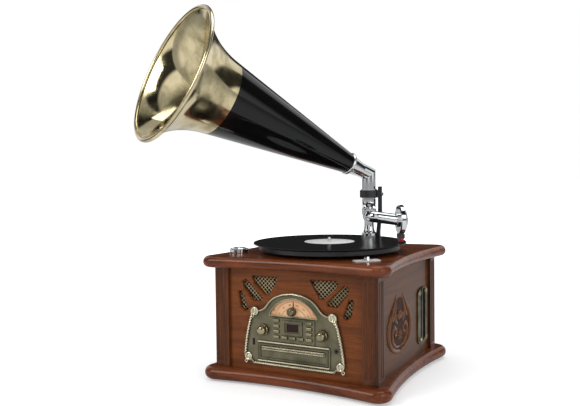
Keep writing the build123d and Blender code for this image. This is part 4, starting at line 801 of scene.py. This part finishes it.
def carving(side):
    """Lyre-shaped scroll carving with a rosette, seen from outside the side panel."""
    outer = [(-17, 169), (-27, 154), (-47, 135), (-61, 112), (-60, 90), (-43, 73), (-20, 64), (0, 61)]
    inner = [(0, 70), (-20, 72), (-38, 84), (-42, 101), (-30, 112), (-18, 105), (-19, 94), (-28, 95)]
    spray = [(-14, 116), (-24, 124), (-27, 138), (-20, 152), (-14, 162)]
    leaf = [(-40, 122), (-33, 131), (-30, 142)]
    made = []
    for sign in (-1, 1):
        for line, radii in (
            (outer, (1.4, 3.8, 5.4, 6.2, 6.2, 5.4, 4.4, 3.2)),
            (inner, (1.8, 3.4, 4.2, 4.6, 4.2, 3.6, 3.2, 4.0)),
            (spray, (3.0, 4.4, 4.6, 3.0, 0.8)),
            (leaf, (3.6, 5.0, 1.2)),
        ):
            made.append(stem([(y * sign, z) for y, z in line], radii))
    deselect()
    bpy.ops.mesh.primitive_uv_sphere_add(segments=14, ring_count=8, radius=0.001)
    petal = bpy.context.object
    petal.scale = (2.6, 2.4, 5.4)
    bpy.ops.object.transform_apply(location=False, rotation=False, scale=True)
    petals = 8
    leaves = 5
    leaf_fan = 0.42
    rosette = Matrix.Translation((0, 0, CARVED_ROSETTE_Z))
    leaf_root = Matrix.Translation((0, 0, CARVED_LEAF_Z))
    spots = []
    for index in range(petals):
        turn = Matrix.Rotation(index * math.tau / petals, 4, "X")
        spots.append(rosette @ turn @ Matrix.Translation((0, 0, 0.0066)))
    for index in range(leaves):
        turn = Matrix.Rotation((index - leaves // 2) * leaf_fan, 4, "X")
        spots.append(leaf_root @ turn @ Matrix.Translation((0, 0, 0.013)) @ Matrix.Scale(1.7, 4))
    made.append(copies(petal, spots))
    deselect()
    bpy.ops.mesh.primitive_uv_sphere_add(
        segments=16, ring_count=10, radius=0.0042, location=(0, 0, CARVED_ROSETTE_Z),
    )
    made.append(bpy.context.object)
    whole = join(made)
    whole.location = (side * (PANEL_FACE - CARVING_SINK), CARVING_Y, 0)
    return whole


def carving_painted_shade(side):
    """A thin, dark, flame-shaped sheet under the carving: painted shade standing for the sunk field that
    the carving sits in.
    """
    count = 48
    half_width = 0.057
    rise = 0.052
    drop = 0.047
    pinch = 0.35
    middle_z = 0.110
    thickness = 0.0006
    deselect()
    bpy.ops.mesh.primitive_circle_add(vertices=count, radius=0.05, fill_type="NGON")
    field = bpy.context.object
    for index, vertex in enumerate(field.data.vertices):
        turn = index * math.tau / count
        upward = math.cos(turn)
        swell = half_width * math.sin(turn) * (1 - pinch * max(0.0, upward) ** 2)
        height = upward * (rise if upward > 0 else drop)
        vertex.co = (0, swell, middle_z + height)
    bpy.ops.object.mode_set(mode="EDIT")
    bpy.ops.mesh.select_all(action="SELECT")
    bpy.ops.mesh.extrude_region_move(TRANSFORM_OT_translate={"value": (thickness, 0, 0)})
    bpy.ops.mesh.select_all(action="SELECT")
    bpy.ops.mesh.normals_make_consistent(inside=False)
    bpy.ops.object.mode_set(mode="OBJECT")
    field.location = (side * PANEL_FACE - thickness / 2, CARVING_Y, 0)
    return field


def bezel_leaves():
    """Leaf sprays cast in the corners of the cassette bezel, apart from the one that the key takes."""
    deselect()
    bpy.ops.mesh.primitive_uv_sphere_add(segments=12, ring_count=8, radius=0.001)
    blade = bpy.context.object
    blade.scale = (1.3, 2.0, 6.0)
    bpy.ops.object.transform_apply(location=False, rotation=False, scale=True)
    corners = ((0.0745, 0.146, 0), (0.1135, 0.146, 0), (0.1135, 0.060, math.pi))
    spots = []
    for y, z, facing in corners:
        root = Matrix.Translation((BEZEL_FACE, y, z))
        for turn in (-0.9, -0.3, 0.3, 0.9):
            spots.append(root @ Matrix.Rotation(turn + facing, 4, "X") @ Matrix.Translation((0, 0, 0.0055)))
    return copies(blade, spots)


for side, word in ((1, "right"), (-1, "left")):
    settle(carving_painted_shade(side), f"carving_painted_shade_{word}", "shade_ground", "cabinet")
    settle(carving(side), f"side_carving_{word}", "carved", "cabinet")
settle(bezel_leaves(), "bezel_leaves", "rubbed", "cabinet")


# Stage, light and camera

def seen_directly(path, tree):
    """1 where the camera, or glass, looks straight at the backdrop."""
    return maths(tree, "MAXIMUM", path.outputs["Is Camera Ray"], path.outputs["Is Transmission Ray"])


def studio_walls(tree):
    """What polished metal mirrors: white screens with dim gaps between them, and a dimmer ceiling."""
    source = tree.nodes.new("ShaderNodeTexCoord")
    parts = split_xyz(tree, source.outputs["Generated"])
    bearing = maths(tree, "ARCTAN2", parts["Y"], parts["X"])
    screen_count = 5.0
    screens_turn = 1.1
    screens = maths(tree, "SINE", maths(tree, "MULTIPLY_ADD", bearing, screen_count, screens_turn))
    across = ramp(tree, maths(tree, "MULTIPLY_ADD", screens, 0.5, 0.5), [(0.40, 0.03), (0.66, 1.0)])
    height = ramp(tree, parts["Z"], [(0.45, 1.0), (0.8, 0.45)])
    return maths(tree, "MULTIPLY", across, height)


def paper_floor():
    """Pale paper that keeps the shadow and glows to white away from the object."""
    deselect()
    bpy.ops.mesh.primitive_plane_add(size=40, location=(0, 0, -0.0004))
    floor = bpy.context.object
    floor.name = "studio_floor"
    material, tree, surface = new_material("floor_paper", (0.86, 0.86, 0.86), roughness=0.7)
    surface.inputs["Specular IOR Level"].default_value = 0.0
    surface.inputs["Emission Color"].default_value = (1, 1, 1, 1)
    apart = add_node(tree, "ShaderNodeVectorMath", operation="LENGTH")
    tree.links.new(place(tree), apart.inputs[0])
    glow = ramp(tree, maths(tree, "MULTIPLY", apart.outputs["Value"], 0.25), [(0.09, 0.36), (0.5, 1.0)])
    seen = seen_directly(tree.nodes.new("ShaderNodeLightPath"), tree)
    tree.links.new(maths(tree, "MULTIPLY", seen, glow), surface.inputs["Emission Strength"])
    floor.data.materials.append(material)


def studio_world():
    """White behind the object, screens in its reflections and a dimmer light on everything else."""
    world = bpy.data.worlds.new("studio_world")
    bpy.context.scene.world = world
    world.use_nodes = True
    tree = world.node_tree
    tree.nodes.clear()
    path = tree.nodes.new("ShaderNodeLightPath")
    seen = maths(tree, "MAXIMUM", seen_directly(path, tree), path.outputs["Is Glossy Ray"])
    dim = add_node(tree, "ShaderNodeBackground", {"Color": (0.95, 0.97, 1.0, 1), "Strength": 0.5})
    white = add_node(tree, "ShaderNodeBackground", {"Color": (1, 1, 1, 1), "Strength": 1.0})
    mirrored = mix_colour(tree, path.outputs["Is Glossy Ray"], (1.0, 1.0, 1.0), studio_walls(tree))
    tree.links.new(mirrored, white.inputs["Color"])
    blend = tree.nodes.new("ShaderNodeMixShader")
    output = tree.nodes.new("ShaderNodeOutputWorld")
    tree.links.new(seen, blend.inputs[0])
    tree.links.new(dim.outputs[0], blend.inputs[1])
    tree.links.new(white.outputs[0], blend.inputs[2])
    tree.links.new(blend.outputs[0], output.inputs[0])


def soft_lamp(name, spot, aim, size, power):
    """A rectangular softbox at spot, turned to aim."""
    lamp_data = bpy.data.lights.new(name, "AREA")
    lamp_data.shape = "RECTANGLE"
    lamp_data.size, lamp_data.size_y = size
    lamp_data.energy = power
    lamp = bpy.data.objects.new(name, lamp_data)
    lamp.location = spot
    lamp.rotation_euler = (Vector(aim) - Vector(spot)).to_track_quat("-Z", "Y").to_euler()
    bpy.context.scene.collection.objects.link(lamp)


paper_floor()
studio_world()
soft_lamp("key_softbox", (-1.3, -2.2, 2.0), (0, 0, 0.25), (1.4, 1.4), 34)
soft_lamp("fill_softbox", (2.3, -1.2, 1.2), (0, 0, 0.2), (1.2, 1.6), 16)
soft_lamp("top_softbox", (0.1, 0.3, 2.4), (0, 0, 0.2), (1.6, 1.6), 18)

# The camera, fitted to the cabinet's corners and the record; its angles are in degrees
CAMERA_SPOT = (0.6038, -1.3063, 0.4057)
CAMERA_LENS = 44.47
CAMERA_HEADING = 27.96
CAMERA_DROP = 2.82
CAMERA_ROLL = -0.69
camera_data = bpy.data.cameras.new("photo_camera")
camera_data.sensor_width = 36.0
camera_data.sensor_fit = "HORIZONTAL"
camera_data.lens = CAMERA_LENS
camera = bpy.data.objects.new("photo_camera", camera_data)
bpy.context.scene.collection.objects.link(camera)
camera.matrix_world = (
    Matrix.Translation(CAMERA_SPOT)
    @ Matrix.Rotation(math.radians(CAMERA_HEADING), 4, "Z")
    @ Matrix.Rotation(math.radians(90 - CAMERA_DROP), 4, "X")
    @ Matrix.Rotation(math.radians(CAMERA_ROLL), 4, "Z")
)
bpy.context.scene.camera = camera
bpy.context.scene.view_settings.view_transform = "Standard"
